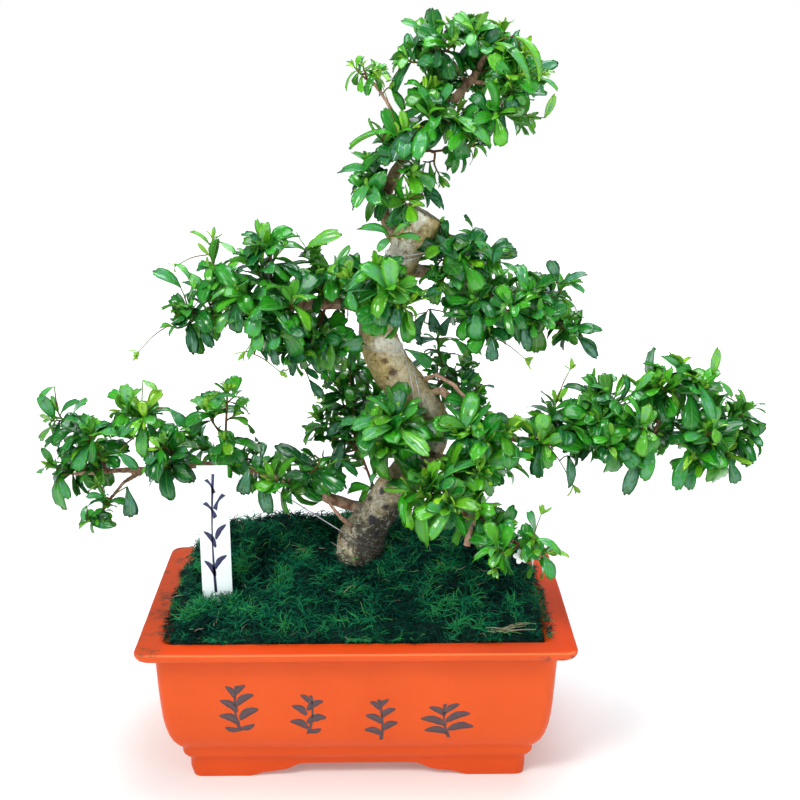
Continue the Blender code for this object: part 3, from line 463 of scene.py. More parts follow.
def brush_skin(name, lines, laid):
    """One skin of brush strokes: each runs from end to end of its line, swells, bows, and is laid on a face."""
    strokes = []
    for x0, z0, x1, z1, wide, bow in lines:
        stroke = fresh(bpy.ops.mesh.primitive_grid_add, x_subdivisions=STROKE_STEPS, y_subdivisions=2, size=2.0)
        start, end = Vector((x0, z0)), Vector((x1, z1))
        line = end - start
        square = Vector((-line.y, line.x)).normalized()
        for vertex in stroke.data.vertices:
            share = (vertex.co.x + 1.0) / 2.0
            swell = 0.75 + 0.25 * cos(6.0 * share)
            if wide > STEM_WIDEST:
                swell = sin(pi * min(1.0, share * 0.92 + 0.06)) ** 0.6
            ragged = 1.0 + RAGGED_EDGE * noise(Vector((x0 + 9.0 * share, z0, 3.0 * vertex.co.y)))
            out = bow * sin(pi * share) + wide * swell * ragged * vertex.co.y
            flat = start + line * share + square * out
            vertex.co = laid(flat.x, flat.y)
        strokes.append(stroke)
    skin = joined(*strokes)
    for face in skin.data.polygons:
        if face.normal.y > 0:
            face.flip()
    apply_modifier(skin, "SOLIDIFY", thickness=STROKE_THICK, offset=-1.0)
    skin.data.shade_smooth()
    put_in_place(skin, name)
    return skin


def on_wall(x, z):
    """The point on the pot's front wall at x and z, lifted by the glaze."""
    wall = pot_tree.ray_cast(Vector((x, -HALF_WIDTH - 40.0, z)), Vector((0.0, 1.0, 0.0)))[0]
    return x, wall.y - STROKE_LIFT, z


def stretched(place, *scale):
    """The place with each axis scaled, for a pattern drawn out along one of them."""
    return place.node("Mapping", {}, {"Vector": place, "Scale": scale})


sprigs = brush_skin("painted_sprigs", [line for sprig in SPRIGS for line in sprig], on_wall)
glaze, shader, place = new_material("grey brown brush glaze")
streak = spots(stretched(place, 1.0, 1.0, 2.5), 420.0, 3.0)
wash = spots(place, 110.0, 3.0)
thin = streak.step(0.52, 0.74) * 0.55 + wash.step(0.5, 0.8) * 0.25
coat(shader, base_color=thin.mix((0.075, 0.048, 0.055), (0.26, 0.075, 0.045)), roughness=0.36 + wash * 0.2)
sprigs.data.materials.append(glaze)
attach(sprigs, "root")


# Dark potting soil fills the pot under the moss, and a square of black plastic mesh lies over each drain hole.
# Both are the model's own solids with a finish of their own.
soil_finish, shader, place = new_material("dark potting soil")
crumb = spots(place, 240.0, 5.0, 0.7)
bark_bits = spots(place, 90.0, 3.0).step(0.60, 0.68)
earth = layered(crumb.mix((0.012, 0.008, 0.005), (0.06, 0.036, 0.02)), (bark_bits, 0.6, (0.12, 0.07, 0.035)))
coat(shader, base_color=earth, roughness=0.95, normal=bump(crumb + bark_bits * 0.4, 0.8, 0.002))

mesh_finish, shader, place = new_material("black mesh plastic")
mould = spots(place, 700.0, 2.0)
dust = spots(place, 70.0, 3.0).step(0.5, 0.7)
coat(shader, base_color=(dust * 0.4).mix((0.012, 0.012, 0.013), (0.07, 0.055, 0.04)),
     roughness=0.45 + mould * 0.25, normal=bump(mould, 0.2, 0.0003))
for node, finish in (("soil", soil_finish), ("drain_mesh_left", mesh_finish), ("drain_mesh_right", mesh_finish)):
    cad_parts[node].data.materials.clear()
    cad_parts[node].data.materials.append(finish)


# The moss is a mat of preserved sheet moss laid over the soil in a mound: a dark felted body and thousands of curly
# fibres, deep bluish green with brighter tips, a few fresh green ones and some straw. Some hang over the rim.
MOUND_BASE = 109.0
MOUND_RISE = 42.0
MOUND_TOP_Y = 40.0
MOUND_HALF_X = 135.0
MOUND_HALF_Y = 82.0
FRONT_POWER, BACK_POWER, SIDE_POWER = 1.8, 3, 6
LUMP = 2.2
LUMP_WIDTH = 17.0
MOSS_HALF = 129.8
MOSS_HALF_Y = MOSS_HALF - LONGER_HALF
MOSS_CORNER = 8.0
MAT_CELLS = (112, 72)
MAT_THICK = 5.0
MAT_EDGE = 5.0
MAT_EDGE_DROP = 2.5
# How the fibres curl: the bend sideways, the rise, and the turns of the bend
FIBRE_CURLS = ((2.0, 2.4, 1.0), (-1.6, 1.2, 0.5), (1.2, 3.0, 2.2), (-0.8, 1.8, 0.6), (0.5, 0.9, 1.4))
FIBRE_REACH = 9.0
FIBRE_RADIUS = 0.43
FIBRE_CUTS = (-0.34, 0.34)
TUFTS = 2300
SPILLS = 230
LABEL_CLUMP = 26
STRAWS = 16
FIBRE_SEED = 21
RIM_TOP = 110.9
# Where tufts are drawn: round the label, over the pot's front at these x, and the straws at the front right
LABEL_PATCH = ((-111.0, -84.0), (-53.0, -47.5))
FRONT_SPILLS = (-105.0, -62.0, -20.0, 4.0, 18.0, 36.0, 88.0)
FRONT_SPILL_SHARE = 0.2
STRAW_PATCH = ((88.0, 106.0), (-78.5, -71.0), (113.0, 117.0))
# The three pieces that the fibres are kept in, each with its range of x
FIBRE_PIECES = (("moss_fibres_left", -200.0, -48.0), ("moss_fibres_middle", -48.0, 42.0),
                ("moss_fibres_right", 42.0, 200.0))


def mound_height(x, y):
    """Height of the mound over the table, as in the model."""
    if y < MOUND_TOP_Y:
        along_y = 1 - (min(1.0, (MOUND_TOP_Y - y) / (MOUND_TOP_Y + MOUND_HALF_Y))) ** FRONT_POWER
    else:
        along_y = 1 - ((y - MOUND_TOP_Y) / (MOUND_HALF_Y - MOUND_TOP_Y)) ** BACK_POWER
    along_x = 1 - abs(x / MOUND_HALF_X) ** SIDE_POWER
    lumps = LUMP * noise(Vector((x / LUMP_WIDTH, y / LUMP_WIDTH, 2.0)))
    return MOUND_BASE + MOUND_RISE * along_x * along_y + lumps


def into_corner(x, y):
    """Draw a point in the mat's square corner in to its round one."""
    inner_x, inner_y = MOSS_HALF - MOSS_CORNER, MOSS_HALF_Y - MOSS_CORNER
    over_x, over_y = abs(x) - inner_x, abs(y) - inner_y
    if over_x <= 0 or over_y <= 0:
        return x, y
    shrink = max(over_x, over_y) / Vector((over_x, over_y)).length
    return ((inner_x + over_x * shrink) * (1 if x > 0 else -1),
            (inner_y + over_y * shrink) * (1 if y > 0 else -1))


def read_out(items, key, count, kind=float):
    """One value or row of values from each item of a mesh, as an array."""
    values = np.empty(len(items) * count, kind)
    items.foreach_get(key, values)
    return values.reshape(-1, count) if count > 1 else values


def copy_out(model):
    """A model's points, corners, face sizes, UV and faces' materials as arrays, for many copies of it."""
    data = model.data
    arrays = (read_out(data.vertices, "co", 3), read_out(data.loops, "vertex_index", 1, np.int64),
              read_out(data.polygons, "loop_total", 1, np.int64), read_out(data.uv_layers[0].uv, "vector", 2),
              read_out(data.polygons, "material_index", 1, np.int64))
    bpy.data.objects.remove(model, do_unlink=True)
    return arrays


def hold(data, **values):
    """Keep numbers for the material on a mesh's points."""
    for label, numbers in values.items():
        data.attributes.new(label, "FLOAT", "POINT").data.foreach_set("value", numbers)


def held(place, label):
    """Numbers kept on a mesh's points, in its material."""
    return place.node("Attribute", {"attribute_name": label}, {}, "Fac")


def ramp(value, *stops):
    """Colours along a value: each stop is its place and its colour."""
    return value.node("ValToRGB", {"stops": stops}, {"Fac": value})


def many_copies(name, models, places, finishes):
    """One mesh of many copies: each place gives its model's number, a matrix, and the copy's tone and chance."""
    points, corners, sizes, uvs, sheets, tones, chances = [], [], [], [], [], [], []
    first = 0
    for number, (model_points, model_corners, model_sizes, model_uv, model_sheets) in enumerate(models):
        mine = [place for place in places if place[0] == number]
        if not mine:
            continue
        turns = np.array([np.array(place[1]) for place in mine])
        count = len(model_points)
        moved = np.einsum("kij,nj->kni", turns[:, :3, :3], model_points) + turns[:, None, :3, 3]
        points.append(moved.ravel())
        starts = first + count * np.arange(len(mine))
        corners.append((model_corners[None, :] + starts[:, None]).ravel())
        sizes.append(np.tile(model_sizes, len(mine)))
        uvs.append(np.tile(model_uv, (len(mine), 1)))
        sheets.append(np.tile(model_sheets, len(mine)))
        tones.append(np.repeat([place[2] for place in mine], count))
        chances.append(np.repeat([place[3] for place in mine], count))
        first += count * len(mine)
    corners, sizes = np.concatenate(corners), np.concatenate(sizes)
    data = bpy.data.meshes.new(name)
    data.vertices.add(first)
    data.vertices.foreach_set("co", np.concatenate(points))
    data.loops.add(len(corners))
    data.loops.foreach_set("vertex_index", corners)
    data.polygons.add(len(sizes))
    data.polygons.foreach_set("loop_start", np.concatenate(([0], np.cumsum(sizes)[:-1])))
    for finish in finishes:
        data.materials.append(finish)
    data.polygons.foreach_set("material_index", np.concatenate(sheets))
    data.update(calc_edges=True)
    data.uv_layers.new(name="UVMap")
    data.uv_layers[0].uv.foreach_set("vector", np.concatenate(uvs).ravel())
    hold(data, tone=np.concatenate(tones), chance=np.concatenate(chances))
    data.validate()
    data.shade_smooth()
    piece = bpy.data.objects.new(name, data)
    bpy.context.scene.collection.objects.link(piece)
    return piece


def set_at(root, *axes):
    """The matrix of a copy with its own three axes, at its root."""
    matrix = Matrix(axes).transposed().to_4x4()
    matrix.translation = root
    return matrix


moss = fresh(bpy.ops.mesh.primitive_grid_add, x_subdivisions=MAT_CELLS[0], y_subdivisions=MAT_CELLS[1], size=2.0)
for vertex in moss.data.vertices:
    x, y = into_corner(vertex.co.x * MOSS_HALF, vertex.co.y * MOSS_HALF_Y)
    felt = 0.9 * noise(Vector((x / 4.0, y / 4.0, 7.0))) + 0.5 * noise(Vector((x / 1.9, y / 1.9, 1.0)))
    inner = min(1.0, (MOSS_HALF - abs(x)) / MAT_EDGE, (MOSS_HALF_Y - abs(y)) / MAT_EDGE)
    vertex.co = (x, y, mound_height(x, y) - 0.8 + felt - MAT_EDGE_DROP * (1.0 - inner) ** 2)
apply_modifier(moss, "SOLIDIFY", thickness=MAT_THICK, offset=-1.0)
moss.data.shade_smooth()
put_in_place(moss, "moss_mat")
felt_finish, shader, place = new_material("dark moss felt")
tuft = spots(place, 520.0, 4.0, 0.7)
bright = spots(place, 45.0, 3.0).step(0.5, 0.75) * tuft.step(0.5, 0.7)
green = layered(tuft.step(0.35, 0.7).mix((0.0012, 0.011, 0.010), (0.004, 0.060, 0.034)),
                (bright, 0.5, (0.012, 0.11, 0.045)))
coat(shader, base_color=green, roughness=0.95, specular_ior_level=0.2, normal=bump(tuft, 1.0, 0.003))
moss.data.materials.append(felt_finish)
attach(moss, "root")
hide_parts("moss")

# One fibre is a thin three-sided thread with a curl, modelled along X and copied
fibre_models = []
for bend, rise, turns in FIBRE_CURLS:
    fibre = fresh(bpy.ops.mesh.primitive_cylinder_add, vertices=3, radius=1.0, depth=2.0, end_fill_type="NOTHING")
    bpy.ops.object.mode_set(mode="EDIT")
    slice_up(FIBRE_CUTS, (0.0, 0.0, 1.0))
    bpy.ops.object.mode_set(mode="OBJECT")
    for vertex in fibre.data.vertices:
        share = (vertex.co.z + 1.0) / 2.0
        thick = FIBRE_RADIUS * (1.0 - 0.6 * share)
        middle = Vector((FIBRE_REACH * share, bend * sin(turns * pi * share), rise * sin(pi * 0.8 * share)))
        vertex.co = middle + Vector((0.0, vertex.co.x * thick, vertex.co.y * thick))
    fibre_models.append(copy_out(fibre))

draw = Random(FIBRE_SEED)
fibres = []
for number in range(TUFTS + SPILLS):
    spill = number >= TUFTS
    by_label = number < LABEL_CLUMP
    if by_label:
        x, y = (draw.uniform(*span) for span in LABEL_PATCH)
    elif not spill:
        x, y = (draw.uniform(-half, half) for half in (MOSS_HALF, MOSS_HALF_Y))
    elif draw.random() < FRONT_SPILL_SHARE:
        x, y = draw.choice(FRONT_SPILLS) + draw.gauss(0.0, 9.0), -MOSS_HALF_Y
        x = max(6.0 - MOSS_HALF, min(MOSS_HALF - 6.0, x))
    else:
        x = draw.choice((-1, -1, 1)) * (MOSS_HALF + draw.uniform(0.0, 5.0))
        y = draw.uniform(4.0 - MOSS_HALF_Y, MOSS_HALF_Y - 16.0)
    x, y = into_corner(x, y)
    height = mound_height(x, y)
    slope_x = (mound_height(x + 1.0, y) - mound_height(x - 1.0, y)) / 2.0
    slope_y = (mound_height(x, y + 1.0) - mound_height(x, y - 1.0)) / 2.0
    normal = Vector((-slope_x, -slope_y, 1.0)).normalized()
    patch = noise(Vector((x / 15.0, y / 15.0, 4.0))) + 0.5 * noise(Vector((x / 6.0, y / 6.0, 9.0)))
    base_tone = 0.39 + 0.86 * patch + draw.uniform(-0.14, 0.14)
    near_wall = min(MOSS_HALF - abs(x), MOSS_HALF_Y - abs(y))
    turn = draw.uniform(0.0, 2.0 * pi)
    stand = draw.uniform(0.1, 0.9)
    if by_label:
        stand += 0.8
        base_tone += 0.22
    for member in range(draw.randint(5, 9)):
        heading = turn + draw.uniform(-0.9, 0.9) + pi * draw.randint(0, 1)
        lie = Vector((cos(heading), sin(heading), 0.0))
        if spill:
            if y < 1.0 - MOSS_HALF_Y:
                lie = Vector((draw.uniform(-1.2, 1.2), -1.0, 0.0))
            else:
                lie = Vector((1.0 if x > 0 else -1.0, draw.uniform(-4.2, 3.8), draw.uniform(0.0, 0.9)))
            lie.normalize()
            normal = Vector((0.0, 0.0, 1.0))
        along = (lie - normal * lie.dot(normal)).normalized()
        along = (along + normal * (draw.uniform(0.0, 0.25) if spill else stand * draw.uniform(0.3, 1.4))).normalized()
        up = (normal - along * normal.dot(along)).normalized()
        size = draw.uniform(0.6, 1.35)
        if near_wall < 7.0:
            size *= 0.72 if abs(x) < MOSS_HALF - 7.0 else 0.55
        root = Vector((x + draw.uniform(-2.0, 2.0), y, max(height, RIM_TOP) if spill else height - 1.0))
        if spill and abs(x) >= MOSS_HALF:
            root = Vector((x, y + draw.uniform(-3.0, 3.0), RIM_TOP))
        if not spill:
            root.y = max(-MOSS_HALF_Y, min(MOSS_HALF_Y, y + draw.uniform(-2.0, 2.0)))
            root.x = max(-MOSS_HALF, min(MOSS_HALF, root.x))
        matrix = set_at(root, along * size, up.cross(along) * size, up * size)
        kind = draw.random()
        tone = min(0.80, max(0.02, base_tone + draw.uniform(-0.24, 0.24)))
        if kind > 0.968:
            tone = 0.86 if kind < 0.992 else 1.0
        fibres.append((draw.randrange(len(fibre_models)), matrix, tone, draw.random()))

for number in range(STRAWS):
    heading = draw.gauss(0.0, 0.22)
    along = Vector((cos(heading), sin(heading), draw.uniform(0.0, 0.12))).normalized()
    side = Vector((-along.y, along.x, 0.0)).normalized()
    size = draw.uniform(1.2, 2.3)
    root = Vector([draw.uniform(*span) for span in STRAW_PATCH])
    matrix = set_at(root, along * size, side * size * 0.5, along.cross(side) * size * 0.5)
    fibres.append((draw.randrange(len(fibre_models)), matrix, draw.uniform(0.92, 1.0), draw.random()))

thread, shader, place = new_material("curly moss fibre")
tone = held(place, "tone") + (held(place, "chance") - 0.5) * 0.08
green = ramp(tone, (0.0, (0.0008, 0.018, 0.016)), (0.3, (0.002, 0.056, 0.036)), (0.52, (0.004, 0.145, 0.072)),
             (0.72, (0.014, 0.30, 0.125)), (0.86, (0.06, 0.38, 0.07)), (1.0, (0.40, 0.33, 0.24)))
coat(shader, base_color=green, roughness=0.6, specular_ior_level=0.12)
for name, low, high in FIBRE_PIECES:
    some = [fibre for fibre in fibres if low <= fibre[1].translation.x < high]
    piece = many_copies(name, fibre_models, some, (thread,))
    piece.data.transform(PLACE)
    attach(piece, "root")


# The trunk, its thin leader, the sawn stub and the spreading branches are one grown piece of wood. Its bark is
# lumpy and mottled in ochre, grey, brown and cream, with knots and pits, and darker towards the foot. Pale cream is a
# painted highlight on the side facing up and forward; brown painted shade lies on the side away from it and on the
# bend under the leaves, and a near-black painted shadow on the foot's right side.
STUB_TOP = Vector((48.0, 2.0, 394.0))
STUB_AXIS = Vector((0.51, 0.0, 0.86))
# The direction that the painted highlight faces: up and toward the front
LIT_SIDE = Vector((0.05, -0.74, 0.67))
# The side of the foot that the near-black painted shadow lies on, and the height it starts below
SHADOW_SIDE = Vector((0.86, -0.44, -0.26))
SHADOW_BELOW = 205.0
WELD = 0.01
BARK_CELL = 1.12
ROUNDED_WITHIN = 2.3
ROUNDED_SHARE = 0.9
KNOT_SPREAD = 1.55
KNOT_DEPTH = 0.9
SAWN_GREY = 0.42
# Where the bark's colour changes on the way up, and where painted shade darkens the bend, in metres from the table
FOOT = (0.165, 0.205)
FOOT_LEFT_EDGE = (0.150, 0.170)
LOW_TRUNK = (0.148, 0.172, 0.200, 0.232)
RIDGE = (0.192, 0.208, 0.222, 0.240)
SHADED_ELBOW = (0.232, 0.250, 0.270, 0.288)
WARM_WOOD = (0.256, 0.276, 0.288, 0.304)
PALER_SCARS = (0.205, 0.240)
# The trunk's axis, as in the model: x, y, z and radius
TRUNK_AXIS = (
    (-4, 0, 92, 16.0), (-1, 0, 120, 18.4), (0, 0, 138, 18.6), (1, 0, 150, 17.2), (5, -1, 162, 15.4),
    (13, -2, 175, 14.0), (24, -4, 191, 13.4), (36, -6, 208, 13.0), (46, -6, 221, 12.8), (52, -5, 233, 12.6),
    (53, -2, 246, 12.9), (46, 0, 257, 13.8), (35, 4, 268, 14.5), (26, 7, 279, 14.7), (19, 10, 291, 14.4),
    (14, 11, 306, 13.1), (15, 10, 325, 12.2), (25, 7, 348, 11.6), (34, 4, 366, 11.5), (39, 3, 377, 13.2),
    (45, 2, 389, 13.9), (48, 2, 394, 13.2),
)
# Knots and pits: a point on the bark and the dark spot's radius
KNOTS = (
    ((17.3, -14.1, 196.4), 2.6), ((22.4, -15.1, 202.0), 2.2), ((8.7, -9.4, 188.7), 2.4), ((20.2, -16.4, 185.0), 2.4),
    ((10.1, -15.6, 174.9), 3.6), ((27.0, -15.5, 200.0), 1.5), ((24.5, -15.0, 206.0), 1.4), ((6.4, 1.8, 299.4), 1.3),
    ((19.8, -4.9, 290.1), 2.0), ((34.0, 2.3, 290.4), 0.9), ((25.4, -7.3, 281.9), 3.2), ((30.5, 2.4, 294.8), 0.8),
    ((20.0, -5.0, 309.0), 1.6), ((44.4, -13.2, 260.1), 1.2), ((40.9, -12.2, 263.5), 1.0), ((21.9, -6.4, 278.0), 1.4),
    ((44.0, -10.6, 382.2), 1.2), ((37.2, -9.4, 386.9), 0.9), ((47.3, -10.9, 393.9), 1.0), ((30.4, -6.3, 360.8), 1.6),
    ((33.8, -4.5, 354.9), 1.4), ((14.0, -15.5, 163.0), 3.0),
)


def copy_of_node(node, name, quads=False):
    """A node's own solid as a new piece in the pot's millimetres, with its loose triangles welded."""
    piece = bpy.data.objects.new(name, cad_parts[node].data.copy())
    bpy.context.scene.collection.objects.link(piece)
    piece.data.transform(PLACE.inverted())
    piece.data.materials.clear()
    pick(piece)
    bpy.ops.object.mode_set(mode="EDIT")
    bpy.ops.mesh.select_all(action="SELECT")
    bpy.ops.mesh.remove_doubles(threshold=WELD)
    if quads:
        bpy.ops.mesh.tris_convert_to_quads()
    bpy.ops.mesh.normals_make_consistent(inside=False)
    bpy.ops.object.mode_set(mode="OBJECT")
    return piece


wood = copy_of_node("trunk_and_branches", "bark_and_branches")
apply_modifier(wood, "REMESH", mode="VOXEL", voxel_size=BARK_CELL)
apply_modifier(wood, "SMOOTH", factor=0.5, iterations=5)

points = read_out(wood.data.vertices, "co", 3)
gap_to_trunk = np.full(len(points), 1e9)
outward = np.zeros_like(points)
for low, high in zip(TRUNK_AXIS, TRUNK_AXIS[1:]):
    start, line = np.array(low[:3], float), np.array(high[:3], float) - np.array(low[:3], float)
    share = np.clip((points - start) @ line / (line @ line), 0.0, 1.0)
    offset = points - start - share[:, None] * line
    away = np.linalg.norm(offset, axis=1)
    gap = away - (low[3] + share * (high[3] - low[3]))
    nearer = gap < gap_to_trunk
    outward[nearer] = (offset / away[:, None])[nearer]
    gap_to_trunk = np.minimum(gap_to_trunk, gap)
slim_mask = np.clip((gap_to_trunk - 1.0) / 5.0, 0.0, 1.0)
# The model's trunk has flat sides: draw its bark out to the round
rounding = np.clip((ROUNDED_WITHIN - np.abs(gap_to_trunk)) / 0.8, 0.0, 1.0)[:, None]
points -= outward * gap_to_trunk[:, None] * rounding * ROUNDED_SHARE
knot_points, knot_radii = (np.array(column) for column in zip(*KNOTS))
gaps = np.linalg.norm(points[:, None, :] - knot_points[None], axis=2) / (knot_radii[None] * KNOT_SPREAD)
knot_mask = np.clip(1.0 - gaps, 0.0, 1.0).max(axis=1)

normals = [vertex.normal.lerp(Vector(out), float(share)).normalized()
           for vertex, out, share in zip(wood.data.vertices, outward, rounding[:, 0])]
worn_mask, damp_mask = [], []
for number, (vertex, normal) in enumerate(zip(wood.data.vertices, normals)):
    spot = Vector(points[number])
    full = 1.0 - 0.6 * slim_mask[number]
    swell = noise(spot / 13.0) + 0.5 * noise(spot / 5.5 + Vector((3.0, 0.0, 0.0)))
    wrinkle = abs(noise(Vector((spot.x / 2.6, spot.y / 2.6, spot.z / 5.5)))) - 0.22
    if knot_mask[number] > 0.0:
        ragged = 0.30 * noise(spot / 1.9) + 0.25 * noise(spot / 0.9)
        knot_mask[number] = max(0.0, min(1.0, knot_mask[number] + ragged))
    vertex.co = spot + normal * (full * (swell + 0.55 * wrinkle) + 0.12 - KNOT_DEPTH * knot_mask[number])
    if (spot - STUB_TOP).dot(STUB_AXIS) > -2.0 and normal.dot(STUB_AXIS) > 0.6:
        knot_mask[number] = max(knot_mask[number], SAWN_GREY)
    # How far each point faces the painted highlight's side, broken up by noise
    worn_mask.append(0.5 + 0.5 * normal.dot(LIT_SIDE) + 0.5 * noise(spot / 17.0 + Vector((0.0, 7.0, 0.0))))
    # Painted shadow: near black low on the foot, most on its right and front
    low_down = max(0.0, min(1.0, (SHADOW_BELOW - spot.z) / 45.0))
    damp_mask.append(low_down * (0.50 + 0.75 * normal.dot(SHADOW_SIDE) + 0.6 * noise(spot / 8.0)))
hold(wood.data, knot=knot_mask, slim=slim_mask, worn=worn_mask, damp=damp_mask)
wood.data.shade_smooth()
wood_tree = tree_of(wood)
wood.data.transform(PLACE)

bark, shader, place = new_material("pale mottled bark")
knot, slim, worn, damp = (held(place, label) for label in ("knot", "slim", "worn", "damp"))
height = part(place, "Z")
with_grain = stretched(place, 1.0, 1.0, 0.5)
broad = spots(place, 46.0, 5.0, 0.6)
lean = spots(with_grain, 150.0, 6.0, 0.68)
fine = spots(with_grain, 700.0, 4.0, 0.7)
warp = place.node("TexNoise", {}, {"Vector": place, "Scale": 90.0, "Detail": 3.0}, "Color")
drift = place.node("VectorMath", {"operation": "SCALE"}, {0: warp, "Scale": 0.012}, "Vector")
curled = place.node("VectorMath", {"operation": "ADD"}, {0: place, 1: drift}, "Vector")
grey = spots(curled, 70.0, 6.0, 0.7)
scales = spots(curled, 400.0, 4.0, 0.66)
crevice = 1.0 - scales.step(0.38, 0.50)
pit = spots(place, 330.0, 3.0).step(0.66, 0.71)
foot = 1.0 - (height + (broad - 0.5) * 0.05).step(*FOOT)
# Pale cream is a painted highlight on the side facing up and forward, broken up by the mottling, and golden ochre
# goes on the sides turned from it
golden = (0.80 - worn + (grey - 0.5) * 1.2).step(0.0, 0.42)
painted_highlight = (worn + (grey - 0.5) * 1.7 + (lean - 0.5) * 0.6).step(0.69, 1.01)
# Painted shade: brown on the side turned away from the highlight
shaded_side = (0.42 - worn + (lean - 0.5)).step(0.0, 0.30)
blotch = spots(curled, 120.0, 5.0, 0.75).step(0.54, 0.63)
left_edge = foot * height.step(*FOOT_LEFT_EDGE) * (1.0 - damp.step(-0.20, 0.22)) * grey.step(0.40, 0.56)
trunk_tan = layered(
    broad.step(0.38, 0.62).mix((0.27, 0.185, 0.070), (0.46, 0.365, 0.165)),
    (grey.step(0.44, 0.60), 1.0, (0.40, 0.355, 0.205)),
    (golden, 0.85, (0.40, 0.310, 0.085)),
    # painted highlight: pale cream, weaker at the foot
    (painted_highlight, 0.94 - foot * 0.40, (0.82, 0.79, 0.66)),
    # painted shade: brown on the side away from the highlight
    (shaded_side, 0.5, (0.175, 0.130, 0.034)),
    (height.band(*WARM_WOOD) * lean.step(0.34, 0.52), 0.64, (0.53, 0.385, 0.140)),
    (blotch, 0.5, (0.150, 0.090, 0.040)),
    # painted shade: darker bark on the bend, in the leaves' shade
    (height.band(*SHADED_ELBOW), 0.62, (0.27, 0.215, 0.080)),
    (height.band(*LOW_TRUNK), 0.60, (0.150, 0.145, 0.095)),
    (height.band(*RIDGE) * lean.step(0.40, 0.58), 0.6, (0.50, 0.27, 0.130)),
    (left_edge, 0.7, (0.36, 0.21, 0.085)),
    (foot, 0.14, (0.090, 0.092, 0.070)),
    # painted shadow: near black on the foot's right side
    (damp.step(0.30, 0.62), 0.94, (0.017, 0.019, 0.013)),
    (crevice, 0.34 + foot * 0.50, (0.050, 0.036, 0.024)),
    (scales.step(0.52, 0.66), 0.30, (0.84, 0.82, 0.68)),
)
limb_tan = layered(lean.step(0.36, 0.60).mix((0.22, 0.105, 0.060), (0.56, 0.36, 0.245)),
                   (crevice, 0.4, (0.09, 0.040, 0.025)))
scar = height.step(*PALER_SCARS).mix((0.016, 0.015, 0.024), (0.085, 0.052, 0.034))
tan = layered(slim.mix(trunk_tan, limb_tan), (pit, 0.75, (0.050, 0.030, 0.024)), (knot.step(0.12, 0.60), 0.92, scar))
bark_height = lean * 0.5 + scales * 0.6 + fine * 0.25 - pit * 0.3
coat(shader, base_color=tan, roughness=0.60 + fine * 0.3, specular_ior_level=0.3,
     normal=bump(bark_height, 0.75, 0.0020))
wood.data.materials.append(bark)
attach(wood, "root")
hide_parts("trunk_and_branches")


# The shoots are thin red-brown twigs that turn green at their tips and carry spirals of glossy leaves: spoon-shaped
# or pointed, toothed at the tip, folded along the midrib and arched, dark when old and lime green in the newest buds.
LEAF_LENGTH = 20.0
LEAF_SPACING = 3.0
SPUR_SPACING = 11.0
GOLDEN_TURN = 2.399
LONE_WIDEST = 25.0
LEAF_SEED = 500
